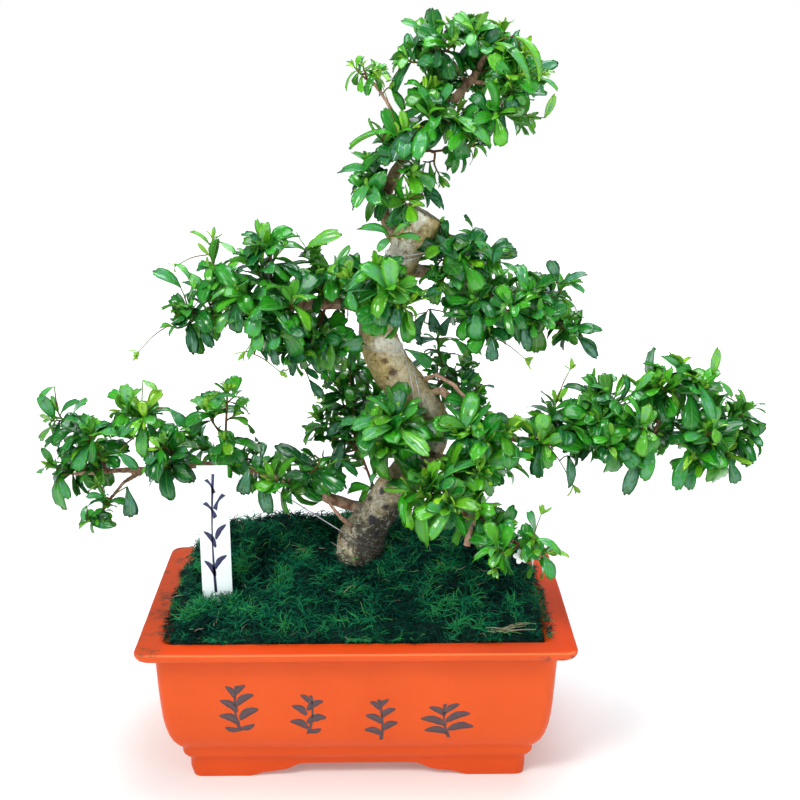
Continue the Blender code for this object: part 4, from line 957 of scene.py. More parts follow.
# Each shoot: its name, its twigs' tips, its leaves' size and youth, and the ends of bare stalks with a bud
SHOOTS = (
    ("crown_left_01", ((0, -6, 492), (16, -10, 489)), 15, 0.35),
    ("crown_right_02", ((112, -10, 458), (88, -28, 463), (104, -20, 478)), 25, 0.0, (122, -24, 487)),
    ("crown_top_left_03", ((47, 8, 506), (64, -16, 508), (34, -2, 497)), 26, 0.1, (27, -4, 484)),
    ("leader_04", ((10, 2, 428), (8, -6, 409), (36, -14, 405)), 22, 0.1),
    ("leader_05", ((38, -22, 424), (29, -26, 449), (18, -14, 444)), 26, 0.1, (17, -14, 484)),
    ("leader_06", ((58, 10, 418), (84, 10, 443)), 21, 0.0),
    ("leader_07", ((49, -28, 462), (76, -24, 455), (47, -16, 478)), 25, 0.05),
    ("leader_08", ((58, 28, 471), (60, 36, 491)), 26, 0.0),
    ("leader_09", ((79, -12, 515), (70, 14, 514), (92, -8, 505)), 24, 0.1),
    ("leader_10", ((99, 10, 514), (111, -16, 500), (108, -24, 488)), 24, 0.25),
    ("leader_11", ((105, 28, 495), (122, 4, 486)), 26, 0.2),
    ("upper_left_12", ((-130, -14, 318), (-116, -18, 334), (-100, 12, 336)), 24, 0.05, (-151, -14, 300)),
    ("upper_left_13", ((-100, -10, 367), (-92, -20, 352)), 23, 0.1, (-124, -10, 359), (-98, -10, 377)),
    ("upper_left_14", ((-70, -34, 366), (-58, -26, 380), (-78, -44, 345)), 29, 0.05),
    ("upper_left_15", ((-68, -50, 330), (-42, -48, 342), (-50, -54, 322)), 29, 0.0, (-74, -44, 307), (-52, -44, 293)),
    ("upper_left_16", ((-34, -4, 370), (-14, -18, 362)), 26, 0.1),
    ("upper_left_17", ((-4, -36, 356), (15, -34, 362), (25, -40, 350), (33, -38, 338)), 29, 0.15),
    ("upper_left_18", ((-62, 20, 336), (-14, 26, 350)), 24, 0.0),
    ("upper_left_19", ((-27, -28, 310), (-46, -30, 303), (-12, -24, 298)), 26, 0.0, (-24, -16, 272)),
    ("upper_right_20", ((63, -6, 369), (97, 4, 363), (78, -14, 362), (58, -14, 346)), 26, 0.0),
    ("upper_right_21", ((146, 6, 341), (127, -14, 323), (119, -8, 340), (105, -18, 332)), 26, 0.0),
    ("upper_right_22", ((156, 8, 304), (146, 2, 318)), 23, 0.0),
    ("upper_right_23", ((76, -12, 324), (94, -8, 309), (82, -18, 336)), 25, 0.0, (72, -12, 292), (118, -6, 292)),
    ("upper_right_24", ((103, 50, 336), (146, 44, 318), (72, 46, 328)), 25, 0.0),
    ("lower_left_25", ((-26, -22, 224), (-60, -22, 207)), 28, 0.0),
    ("lower_left_26", ((-92, -6, 268), (-106, -6, 254), (-94, -14, 235)), 25, 0.1),
    ("lower_left_27", ((-136, -22, 219), (-136, -22, 236)), 27, 0.0),
    ("lower_left_28", ((-214, 0, 253), (-187, -20, 243)), 26, 0.05),
    ("lower_left_29", ((-220, 2, 211), (-194, 18, 214)), 24, 0.0),
    ("lower_left_30", ((-51, 26, 204), (-122, 32, 224)), 26, 0.0),
    ("lower_left_rise_31", ((-164, -4, 263), (-149, -14, 256)), 26, 0.2),
    ("lower_left_drop_32", ((-192, -24, 178), (-176, -22, 194)), 15, 0.0, (-184, -20, 204)),
    ("lower_right_33", ((70, -40, 246), (102, -44, 249), (86, -50, 240)), 29, 0.2),
    ("lower_right_34", ((141, -10, 261), (155, -26, 252), (127, -38, 240)),
     27, 0.1, (152, -30, 206), (148, -24, 288)),
    ("lower_right_35", ((166, -8, 274), (181, -20, 268), (169, -30, 253)), 28, 0.0),
    ("lower_right_36", ((192, -34, 232), (197, -40, 254), (177, -40, 242)), 27, 0.1),
    ("lower_right_37", ((257, 8, 259), (278, 0, 252), (266, -6, 237), (284, -4, 234)), 27, 0.0),
    ("lower_right_38", ((236, -30, 227), (262, -20, 226), (243, -34, 247)), 28, 0.1),
    ("lower_right_39", ((208, 30, 252), (228, 28, 238), (247, 30, 240)), 25, 0.0),
    ("lower_right_40", ((150, 34, 228), (170, 30, 226)), 25, 0.0),
    ("lower_right_rise_41", ((229, -4, 282), (212, -22, 276), (240, -26, 275), (204, -12, 271)), 28, 0.1),
    ("front_right_42", ((48, -60, 218), (66, -74, 204), (37, -54, 211)), 31, 0.25),
    ("front_right_43", ((94, -88, 180), (128, -84, 176)), 27, 0.15, (124, -80, 202)),
    ("front_right_44", ((78, -60, 202), (100, -56, 184)), 24, 0.2, (93, -94, 170)),
    ("front_low_45", ((60, -52, 224), (82, -56, 224), (104, -44, 227)), 27, 0.25),
    ("front_low_46", ((29, -38, 262), (10, -36, 250), (18, -40, 240)), 34, 0.15),
    ("trunk_47", ((-14, 34, 260), (-30, 38, 236), (-34, 54, 202), (-6, 30, 276), (10, 58, 248)), 25, 0.0),
    ("trunk_48", ((58, 30, 300), (80, 46, 274), (86, -4, 266)), 21, 0.0),
)
# Leaves that stand by themselves on a shoot: the leaf's foot and tip, its model and tone
LONE_LEAVES = {
    "crown_left_01": (((24, -4, 479), (32, -10, 463), 3, 0.34),),
    "crown_right_02": (((127, -12, 459), (133, -16, 475), 6, 0.12),),
    "crown_top_left_03": (((45, -8, 514), (31, -12, 522), 3, 0.4),),
    "leader_04": (
        ((13, -6, 420), (-12, -14, 423), 7, 0.5), ((11, -8, 415), (-2, -16, 400), 3, 0.42),
        ((46, -12, 407), (60, -20, 399), 7, 0.85), ((43, -6, 414), (49, -12, 399), 7, 0.88),
        ((47, -8, 416), (57, -16, 399), 3, 0.84),
    ),
    "leader_05": (
        ((22, -16, 451), (-4, -24, 440), 6, 0.32), ((43, -26, 454), (24, -40, 433), 3, 0.97),
        ((46, -28, 454), (40, -44, 434), 4, 0.5),
    ),
    "leader_07": (
        ((63, -26, 461), (88, -42, 443), 4, 0.34), ((50, -26, 464), (42, -34, 481), 3, 0.45),
        ((56, -26, 464), (64, -34, 482), 0, 0.62),
    ),
    "leader_10": (((105, -20, 512), (121, -30, 484), 7, 0.2), ((92, -22, 508), (114, -34, 482), 7, 0.34)),
    "leader_11": (((122, -20, 486), (134, -22, 477), 3, 0.3),),
    "upper_left_12": (
        ((-115, -16, 321), (-113, -22, 299), 3, 0.98), ((-108, -14, 318), (-100, -20, 303), 3, 0.95),
        ((-120, -16, 345), (-138, -20, 358), 3, 0.55),
    ),
    "upper_left_13": (
        ((-92, -14, 376), (-82, -20, 369), 3, 0.2), ((-124, -14, 361), (-113, -20, 351), 7, 0.32),
        ((-118, -14, 357), (-105, -20, 345), 0, 0.26), ((-100, -12, 374), (-112, -16, 384), 6, 0.14),
    ),
    "upper_left_14": (((-63, -26, 373), (-59, -30, 392), 0, 0.18), ((-63, -28, 372), (-70, -36, 385), 3, 0.85)),
    "upper_left_15": (
        ((-62, -50, 342), (-67, -62, 320), 0, 0.48), ((-58, -50, 339), (-34, -62, 313), 3, 0.42),
        ((-68, -24, 306), (-61, -30, 296), 7, 0.85), ((-55, -48, 312), (-53, -50, 298), 3, 0.98),
        ((-62, -50, 318), (-72, -52, 303), 6, 0.3),
    ),
    "upper_left_16": (
        ((23, -16, 380), (1, -22, 386), 7, 0.45), ((26, -18, 380), (43, -32, 380), 3, 0.32),
        ((23, -18, 379), (15, -30, 372), 4, 0.36), ((26, -18, 381), (35, -26, 390), 6, 0.2),
        ((-35, -8, 370), (-9, -14, 381), 5, 0.18),
    ),
    "upper_left_17": (
        ((22, -40, 344), (4, -48, 368), 1, 0.4), ((25, -42, 344), (22, -50, 372), 0, 0.3),
        ((28, -42, 339), (27, -52, 324), 0, 1.0),
    ),
    "upper_left_19": (
        ((-26, -30, 313), (-16, -38, 294), 3, 0.95), ((-38, -32, 310), (-45, -40, 291), 7, 0.9),
        ((-37, -20, 290), (-27, -26, 282), 3, 0.66), ((-33, -18, 280), (-24, -22, 267), 3, 0.96),
        ((-42, -32, 304), (-44, -36, 287), 8, 0.9), ((-34, -34, 306), (-25, -38, 292), 7, 0.35),
    ),
    "upper_right_20": (
        ((100, -4, 360), (111, -10, 354), 6, 0.34), ((65, -8, 362), (55, -12, 382), 7, 0.95),
        ((94, -8, 361), (80, -12, 378), 7, 0.45), ((94, -10, 356), (100, -16, 373), 0, 0.8),
        ((66, -14, 343), (47, -20, 340), 3, 0.85),
    ),
    "upper_right_21": (
        ((147, 2, 345), (159, -4, 338), 3, 0.45), ((140, 0, 345), (134, -6, 362), 1, 0.92),
        ((142, -2, 344), (160, -8, 352), 3, 0.88), ((116, -14, 320), (118, -20, 300), 3, 0.95),
    ),
    "upper_right_22": (((152, 0, 312), (173, -4, 311), 6, 0.6), ((156, -2, 306), (169, -6, 291), 3, 0.97)),
    "upper_right_23": (((94, -12, 310), (95, -20, 293), 0, 1.0),),
    "lower_left_25": (((-67, -24, 211), (-63, -32, 185), 3, 0.92), ((-76, -24, 219), (-80, -30, 199), 0, 0.9)),
    "lower_left_26": (((-103, -8, 260), (-85, -14, 267), 7, 0.6),),
    "lower_left_27": (((-168, -22, 229), (-155, -26, 217), 3, 0.62), ((-144, -24, 232), (-142, -30, 212), 0, 0.97)),
    "lower_left_28": (
        ((-151, -6, 277), (-141, -12, 271), 3, 0.12), ((-214, -4, 272), (-225, -6, 262), 3, 0.42),
        ((-216, -2, 247), (-224, -6, 267), 3, 0.55),
    ),
    "lower_left_29": (((-213, -6, 206), (-208, -12, 190), 3, 0.55),),
    "lower_left_rise_31": (
        ((-160, -12, 257), (-161, -18, 278), 0, 0.3), ((-134, -10, 258), (-121, -16, 246), 0, 0.74),
    ),
    "lower_left_drop_32": (
        ((-163, -24, 204), (-159, -30, 183), 0, 0.97), ((-179, -24, 196), (-191, -30, 199), 3, 0.62),
        ((-192, -24, 190), (-194, -28, 178), 7, 0.45), ((-189, -24, 175), (-172, -30, 176), 6, 0.72),
    ),
    "lower_right_34": (((148, -28, 227), (149, -32, 204), 7, 0.88),),
    "lower_right_35": (((194, -22, 271), (207, -26, 286), 3, 0.32),),
    "lower_right_36": (
        ((197, -38, 230), (186, -42, 202), 3, 0.9), ((205, -38, 237), (199, -44, 213), 4, 0.5),
        ((195, -42, 253), (198, -46, 269), 0, 0.22),
    ),
    "lower_right_37": (((257, -6, 275), (265, -12, 264), 3, 0.28),),
    "lower_right_38": (
        ((233, -30, 230), (223, -38, 204), 3, 0.6), ((262, -24, 224), (268, -30, 206), 0, 0.8),
        ((238, -26, 222), (233, -32, 202), 3, 0.62),
    ),
    "lower_right_rise_41": (
        ((248, -22, 283), (250, -24, 304), 6, 0.18), ((237, -28, 279), (245, -42, 255), 3, 0.6),
        ((228, -10, 280), (212, -16, 296), 7, 0.45),
    ),
    "front_right_42": (((65, -70, 206), (49, -84, 186), 4, 0.3),),
    "front_right_43": (
        ((120, -84, 186), (137, -90, 177), 7, 0.4), ((119, -84, 190), (113, -90, 207), 0, 0.6),
        ((117, -86, 186), (111, -92, 173), 3, 0.3),
    ),
    "front_low_46": (
        ((26, -46, 254), (3, -60, 250), 3, 0.36), ((27, -46, 252), (49, -64, 238), 5, 0.2),
        ((28, -42, 260), (28, -46, 281), 0, 0.92), ((24, -42, 259), (7, -48, 276), 6, 0.4),
        ((19, -42, 257), (-4, -54, 256), 3, 0.5),
    ),
    "trunk_47": (
        ((-10, 24, 226), (-18, 16, 202), 3, 1.0), ((-4, 22, 240), (-23, 14, 229), 4, 0.98),
        ((-13, 10, 212), (-1, 4, 201), 3, 0.66),
    ),
    "trunk_48": (
        ((34, 6, 296), (53, 2, 284), 0, 0.5), ((32, 18, 314), (45, 15, 302), 0, 0.92),
        ((50, 20, 320), (41, 13, 303), 0, 0.97), ((58, 14, 301), (42, 12, 298), 0, 0.9),
        ((67, -2, 306), (78, -6, 295), 0, 0.42), ((37, 14, 310), (46, 10, 297), 3, 0.97),
        ((48, 16, 313), (61, 12, 306), 3, 0.92), ((52, 20, 322), (57, 14, 306), 0, 0.97),
        ((68, 18, 318), (61, 14, 303), 0, 0.95),
    ),
}
# Places where bare wood shows from the front between the leaves: x, z and radius, at y 0
BARE_WOOD = (
    (66, 470, 5), (73, 479, 5), (80, 488, 5), (88, 497, 5), (94, 478, 4), (99, 469, 4), (102, 458, 3), (25, 422, 6),
    (22, 411, 5), (40, 435, 4), (-75, 351, 4), (-74, 340, 4), (-45, 329, 5), (-33, 330, 5), (-21, 331, 5),
    (-95, 315, 4), (227, 278, 3), (229, 265, 3), (228, 254, 3), (157, 227, 3), (175, 226, 3), (214, 238, 4),
    (229, 237, 4), (-200, 210, 3), (-183, 210, 3), (-157, 223, 3), (-151, 231, 3), (-188, 178, 3), (-179, 189, 3),
    (-171, 198, 3), (120, 141, 7),
)
# Places where the light shows through between the shoots: x, z and radius, at y 0
OPEN_AIR = (
    (52, 433, 9), (-28, 224, 8), (93, 378, 8), (4, 210, 7), (256, 205, 7), (70, 386, 8), (-93, 246, 7), (-18, 221, 7),
    (-130, 195, 7), (-40, 183, 6), (-174, 172, 6), (150, 158, 6), (-15, 368, 6), (-22, 364, 5), (-134, 352, 6),
    (-128, 310, 6), (152, 299, 6), (69, 286, 6), (101, 252, 5), (-101, 243, 6), (-107, 238, 5), (148, 220, 5),
    (235, 219, 5), (170, 212, 6), (-136, 354, 7), (165, 325, 6), (179, 208, 6), (-122, 336, 5), (-138, 323, 6),
    (-90, 262, 5), (-84, 239, 6), (-105, 232, 5), (-62, 228, 6), (147, 221, 5), (-38, 189, 5), (138, 356, 5),
    (59, 404, 5), (57, 427, 6), (16, 441, 5), (105, 445, 5), (119, 467, 5), (40, 492, 5), (4, 370, 8), (18, 372, 6),
    (69, 397, 6), (64, 393, 5), (137, 357, 6), (205, 285, 5), (139, 159, 6),
)
FRONT_EYE = Vector((17.0, -963.0, 529.0))
WOOD_BEHIND = 12.0
LOW_MARGIN, HIGH_MARGIN = 2.0, 1.5
LEAF_TRIES = 5
# Leaf models: half width at eight places from stalk to tip, fold, arch, curl of the tip, twist and sideways sway
LEAF_SHARES = (0.0, 0.13, 0.29, 0.47, 0.65, 0.81, 0.93, 1.0)
SPOON = (0.035, 0.052, 0.105, 0.168, 0.222, 0.246, 0.212, 0.095)
OVAL = (0.035, 0.068, 0.135, 0.192, 0.212, 0.192, 0.135, 0.045)
LANCE = (0.030, 0.060, 0.112, 0.150, 0.158, 0.130, 0.080, 0.014)
LEAF_MODELS = (
    (SPOON, 0.06, 0.20, 0.10, 0.10, 0.04), (SPOON, 0.02, 0.38, 0.22, -0.20, -0.05),
    (SPOON, 0.09, 0.05, 0.34, 0.25, 0.0), (OVAL, 0.07, 0.26, 0.04, -0.30, 0.06),
    (OVAL, 0.03, 0.46, 0.10, 0.15, -0.04), (OVAL, 0.10, 0.02, 0.12, 0.40, 0.08),
    (LANCE, 0.09, 0.18, 0.06, 0.50, 0.10), (LANCE, 0.12, 0.42, 0.16, -0.35, -0.08),
    (LANCE, 0.06, -0.10, -0.06, 0.2, 0.0),
)
TIP_TEETH = (-0.045, 0.018, -0.014, 0.018, -0.045)
SIDE_TOOTH = 0.028
LEAF_THICK = 0.3
# Which models are drawn for old leaves, for young ones and for those in a bud
OLD_KINDS = (0, 0, 0, 1, 1, 1, 2, 2, 3, 4, 5, 7)
YOUNG_KINDS = (6, 7, 8, 8)
BUD_KINDS = (6, 8)

leaf_models, leaf_tips = [], []
last_row = len(LEAF_SHARES) - 1
for widths, fold, arch, curl, twist, sway in LEAF_MODELS:
    leaf = fresh(bpy.ops.mesh.primitive_grid_add, x_subdivisions=last_row, y_subdivisions=4, size=2.0)
    count = len(leaf.data.vertices)
    rim_points = set()
    for vertex in leaf.data.vertices:
        row = round((vertex.co.x + 1.0) * last_row / 2.0)
        column = vertex.co.y
        at_side = abs(column) > 0.99
        share = LEAF_SHARES[row]
        if row in (0, last_row) or at_side:
            rim_points.add(vertex.index)
        tooth = 0.0
        if row == last_row:
            tooth = TIP_TEETH[round((column + 1.0) * 2.0)]
        elif row == last_row - 1 and at_side:
            tooth = SIDE_TOOTH
        along = (share + tooth) * LEAF_LENGTH
        half = widths[row] * LEAF_LENGTH * column
        drop = (arch * share ** 2 + curl * max(0.0, share - 0.55) ** 2 * 4.0) * LEAF_LENGTH
        wave = 0.012 * sin(9.0 * share + (2.0 if column > 0 else 0.0)) * abs(column) * LEAF_LENGTH
        lift = fold * abs(column) * min(1.0, 3.0 * share) * LEAF_LENGTH + wave
        angle = twist * share
        vertex.co = (along * (1.0 - 0.3 * abs(arch) * share - 0.25 * abs(curl) * share ** 3),
                     half * cos(angle) - lift * sin(angle) + sway * share ** 2 * LEAF_LENGTH,
                     half * sin(angle) + lift * cos(angle) - drop)
    # The underside is a copy of the blade, a little below it and welded to it at the rim
    bpy.ops.object.mode_set(mode="EDIT")
    bpy.ops.mesh.select_all(action="SELECT")
    bpy.ops.mesh.duplicate()
    bpy.ops.mesh.flip_normals()
    bpy.ops.object.mode_set(mode="OBJECT")
    for vertex in leaf.data.vertices:
        if vertex.index >= count and vertex.index - count not in rim_points:
            vertex.co.z -= LEAF_THICK
    for face in leaf.data.polygons:
        if all(index >= count for index in face.vertices):
            face.material_index = 1
    bpy.ops.object.mode_set(mode="EDIT")
    bpy.ops.mesh.select_all(action="SELECT")
    bpy.ops.mesh.remove_doubles(threshold=WELD / 2)
    bpy.ops.object.mode_set(mode="OBJECT")
    leaf_tips.append(max((vertex.co.copy() for vertex in leaf.data.vertices), key=lambda point: point.x))
    leaf_models.append(copy_out(leaf))


def leaf_material(name):
    """A leaf's material and shader, its UV, its distance from the midrib, its mottle and its tone."""
    material, shader, place = new_material(name)
    blade = place.node("TexCoord", {}, {}, "UV")
    from_midrib = ((part(blade, "Y") - 0.5) * 2.0).maths("ABSOLUTE")
    mottle = spots(place, 260.0, 3.0)
    return material, shader, blade, from_midrib, mottle, held(place, "tone") + (mottle - 0.5) * 0.2


leaf_finish, shader, blade, middle, mottle, tone = leaf_material("glossy leaf")
along_leaf = part(blade, "X")
chance = held(blade, "chance")
vein = (along_leaf * 42.0 - middle * 10.0).maths("SINE").step(0.3, 1.0)
# Painted sheen: a pale blue-green patch in the middle of some leaves stands in for a glossy reflection
painted_sheen = chance.band(0.36, 0.40, 0.54, 0.58) * (1.0 - middle.step(0.45, 0.95))
painted_sheen = painted_sheen * along_leaf.band(0.10, 0.35, 0.70, 0.95) * mottle.step(0.30, 0.62)
green = layered(
    ramp(tone, (0.0, (0.32, 0.66, 0.020)), (0.2, (0.135, 0.50, 0.010)), (0.45, (0.032, 0.35, 0.007)),
         (0.72, (0.004, 0.170, 0.009)), (1.0, (0.001, 0.056, 0.012))),
    (chance.step(0.84, 0.88), 0.4, (0.10, 0.24, 0.008)),
    (1.0 - chance.step(0.16, 0.20), 0.5, (0.001, 0.085, 0.030)),
    # painted sheen on some leaves
    (painted_sheen, 0.55, (0.12, 0.33, 0.25)),
    (1.0 - middle.step(0.02, 0.11), 0.5, (0.14, 0.42, 0.05)),
    (vein, 0.20, (0.06, 0.32, 0.04)),
    (middle.step(0.90, 1.0), 0.40, (0.12, 0.44, 0.06)),
)
leaf_height = vein * 0.35 + mottle * 0.55 - (1.0 - middle.step(0.0, 0.12))
coat(shader, base_color=green, roughness=0.34 + mottle * 0.16, specular_ior_level=0.14, coat_weight=0.9,
     coat_roughness=0.14, normal=bump(leaf_height, 0.55, 0.0006))

under_finish, shader, blade, middle, mottle, tone = leaf_material("matt leaf underside")
pale_green = layered(
    ramp(tone, (0.0, (0.28, 0.56, 0.050)), (0.45, (0.075, 0.320, 0.028)), (1.0, (0.024, 0.160, 0.020))),
    (1.0 - middle.step(0.04, 0.14), 0.6, (0.24, 0.46, 0.10)),
)
coat(shader, base_color=pale_green, roughness=0.70 + mottle * 0.15, specular_ior_level=0.12,
     normal=bump(middle.step(0.0, 0.14) * -1.0, 0.5, 0.0006))

twig_finish, shader, place = new_material("red brown twig")
rough = spots(place, 500.0, 4.0)
brown = ramp(held(place, "tone") + (rough - 0.5) * 0.3, (0.0, (0.17, 0.075, 0.035)), (0.45, (0.120, 0.036, 0.016)),
             (0.8, (0.14, 0.10, 0.02)), (1.0, (0.12, 0.30, 0.02)))
coat(shader, base_color=brown, roughness=0.6, specular_ior_level=0.3, normal=bump(rough, 0.5, 0.0008))


def smooth_path(points, steps=4):
    """More points on a smooth curve through the given ones."""
    points = [Vector(point) for point in points]
    ends = [2 * points[0] - points[1]] + points + [2 * points[-1] - points[-2]]
    path = []
    for a, b, c, d in zip(ends, ends[1:], ends[2:], ends[3:]):
        for step in range(steps):
            t = step / steps
            path.append(0.5 * (2 * b + (c - a) * t + (2 * a - 5 * b + 4 * c - d) * t * t
                               + (3 * b - a - 3 * c + d) * t ** 3))
    path.append(points[-1])
    return path


def stem_mesh(name, stems):
    """Round stems in one mesh: each is a path, its radius at both ends, and its tone at both ends."""
    points, faces, tones = [], [], []
    for path, thick, thin, old, young in stems:
        last = len(path) - 1
        sides = 6 if thick > 0.6 else 4
        heading = (path[1] - path[0]).normalized()
        across = heading.orthogonal().normalized()
        base = len(points)
        for i, point in enumerate(path):
            turned = (path[min(i + 1, last)] - path[max(i - 1, 0)]).normalized()
            across = heading.rotation_difference(turned) @ across
            heading = turned
            up = heading.cross(across)
            share = i / last
            radius = thick + (thin - thick) * share
            for side in range(sides):
                angle = 2 * pi * side / sides
                points.append(point + radius * (cos(angle) * across + sin(angle) * up))
                tones.append(old + (young - old) * share)
        for i in range(last):
            for side in range(sides):
                following = (side + 1) % sides
                low = base + i * sides
                faces.append((low + side, low + following, low + sides + following, low + sides + side))
        faces.append(tuple(base + side for side in reversed(range(sides))))
        faces.append(tuple(base + last * sides + side for side in range(sides)))
    data = bpy.data.meshes.new(name)
    data.from_pydata(points, [], faces)
    hold(data, tone=tones, chance=[0.5] * len(points))
    data.uv_layers.new(name="UVMap")
    data.shade_smooth()
    piece = bpy.data.objects.new(name, data)
    bpy.context.scene.collection.objects.link(piece)
    return piece


def square_to(heading, angle):
    """A direction square to the heading, at an angle round it."""
    across = heading.orthogonal().normalized()
    return cos(angle) * across + sin(angle) * heading.cross(across)


def blade_place(root, along, upper, size, wide=1.0, deep=1.0):
    """A leaf's matrix at its root: along is its direction and upper the side that its face looks to."""
    along = along.normalized()
    face = (upper - along * upper.dot(along)).normalized()
    return set_at(root, along * size, face.cross(along) * size * wide, face * size * deep)


def leaf_between(model, root, tip, upper):
    """The matrix that puts a leaf model's foot and tip on two points, with its face to the upper side."""
    chord, reach = tip - root, leaf_tips[model]
    ahead, own_ahead = chord.normalized(), reach.normalized()
    face = (upper - chord * upper.dot(chord) / chord.length_squared).normalized()
    own_face = (Vector((0.0, 0.0, 1.0)) - own_ahead * own_ahead.z).normalized()
    own = Matrix((own_ahead, own_face.cross(own_ahead), own_face)).transposed()
    turned = Matrix((ahead, face.cross(ahead), face)).transposed() @ own.transposed()
    size = chord.length / reach.length
    matrix = (turned @ Matrix.Diagonal((size, min(size, LONE_WIDEST / LEAF_LENGTH), size))).to_4x4()
    matrix.translation = root
    return matrix


box_low, box_high = (Vector(corner) / MM - POT_AT for corner in cad_box)
# Lines of sight that leaves keep out of: the direction, the radius, and the depth up to which they do
kept_clear = [((Vector((x, 0.0, z)) - FRONT_EYE).normalized(), radius, depth)
              for places, depth in ((BARE_WOOD, WOOD_BEHIND), (OPEN_AIR, 1e9)) for x, z, radius in places]


def has_room(root, along, face, length):
    """Whether a leaf stays in the model's box, out of the wood, and out of the lines of sight kept clear."""
    for share in (0.3, 0.6, 0.95):
        spot = root + along * length * share
        for sight, radius, depth in kept_clear:
            if spot.y < depth and (spot - FRONT_EYE).cross(sight).length < radius:
                return False
    for tip in (root + along * length, root + along * length * 0.9 - face * 0.5 * length):
        if any(not box_low[axis] + LOW_MARGIN < tip[axis] < box_high[axis] - HIGH_MARGIN for axis in range(3)):
            return False
    return wood_tree.ray_cast(root + along * 2.5, along, length * 0.9)[0] is None


def leafy(draw, leaves, path, bare, size, youth, fewest):
    """Leaves in a spiral up a twig: long, dark and spread low down, short, pale and upright at its tip."""
    reach = [0.0]
    for a, b in zip(path, path[1:]):
        reach.append(reach[-1] + (b - a).length)
    total = reach[-1]
    count = max(fewest, round(total * (1.0 - bare) / LEAF_SPACING))
    turn = draw.uniform(0.0, 2.0 * pi)
    for i in range(count):
        share = (i + 0.5) / count
        where = total * (1.0 - (1.0 - bare) * (1.0 - share) ** 1.35)
        leg = max(number for number, far in enumerate(reach[:-1]) if far <= where)
        root = path[leg].lerp(path[leg + 1], (where - reach[leg]) / (reach[leg + 1] - reach[leg]))
        heading = (path[leg + 1] - path[leg]).normalized()
        for attempt in range(LEAF_TRIES):
            angle = turn + i * GOLDEN_TURN + draw.uniform(-0.35, 0.35) * (1 + attempt)
            tilt = radians(80.0 - 52.0 * share ** 1.5 + draw.uniform(-16.0, 14.0))
            along = cos(tilt) * heading + sin(tilt) * square_to(heading, angle)
            along.z += 0.30 * share - 0.02 + draw.uniform(-0.16, 0.20)
            along.normalize()
            length = size * (1.0 - 0.52 * share ** 2.2) * draw.uniform(0.70, 1.16)
            sway = Vector([draw.uniform(-0.4, 0.4) for axis in range(3)])
            upper = 0.5 * heading + Vector((-0.10, -0.25, 0.75)) + sway
            face = (upper - along * upper.dot(along)).normalized()
            if has_room(root, along, face, length):
                break
        else:
            continue
        kind = draw.choice(YOUNG_KINDS if share > 0.8 else OLD_KINDS)
        tone = min(1.0, max(0.0, 0.96 - 0.62 * share ** 1.6 - youth + draw.uniform(-0.30, 0.10)))
        wide, deep = draw.uniform(0.85, 1.15), draw.uniform(0.6, 1.5)
        matrix = blade_place(root, along, upper, length / LEAF_LENGTH, wide, deep)
        leaves.append((kind, matrix, tone, draw.random()))


def bud(draw, leaves, centre, heading, count, size):
    """A star of the newest, lime green leaves."""
    for i in range(count):
        angle = i * GOLDEN_TURN + draw.uniform(-0.3, 0.3)
        tilt = radians(draw.uniform(8.0, 62.0))
        along = cos(tilt) * heading + sin(tilt) * square_to(heading, angle)
        length = size * draw.uniform(0.7, 1.2)
        if has_room(centre, along, heading, length):
            matrix = blade_place(centre, along, heading, length / LEAF_LENGTH, 1.1)
            leaves.append((draw.choice(BUD_KINDS), matrix, draw.uniform(0.0, 0.16), 0.5))


def seat_on_bark(node):
    """The point on the bark that a node stands nearest to, and the bark's normal there."""
    points = [PLACE.inverted() @ vertex.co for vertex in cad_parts[node].data.vertices]
    nearest = min(points, key=lambda point: wood_tree.find_nearest(point)[3])
    return wood_tree.find_nearest(nearest)[:2]


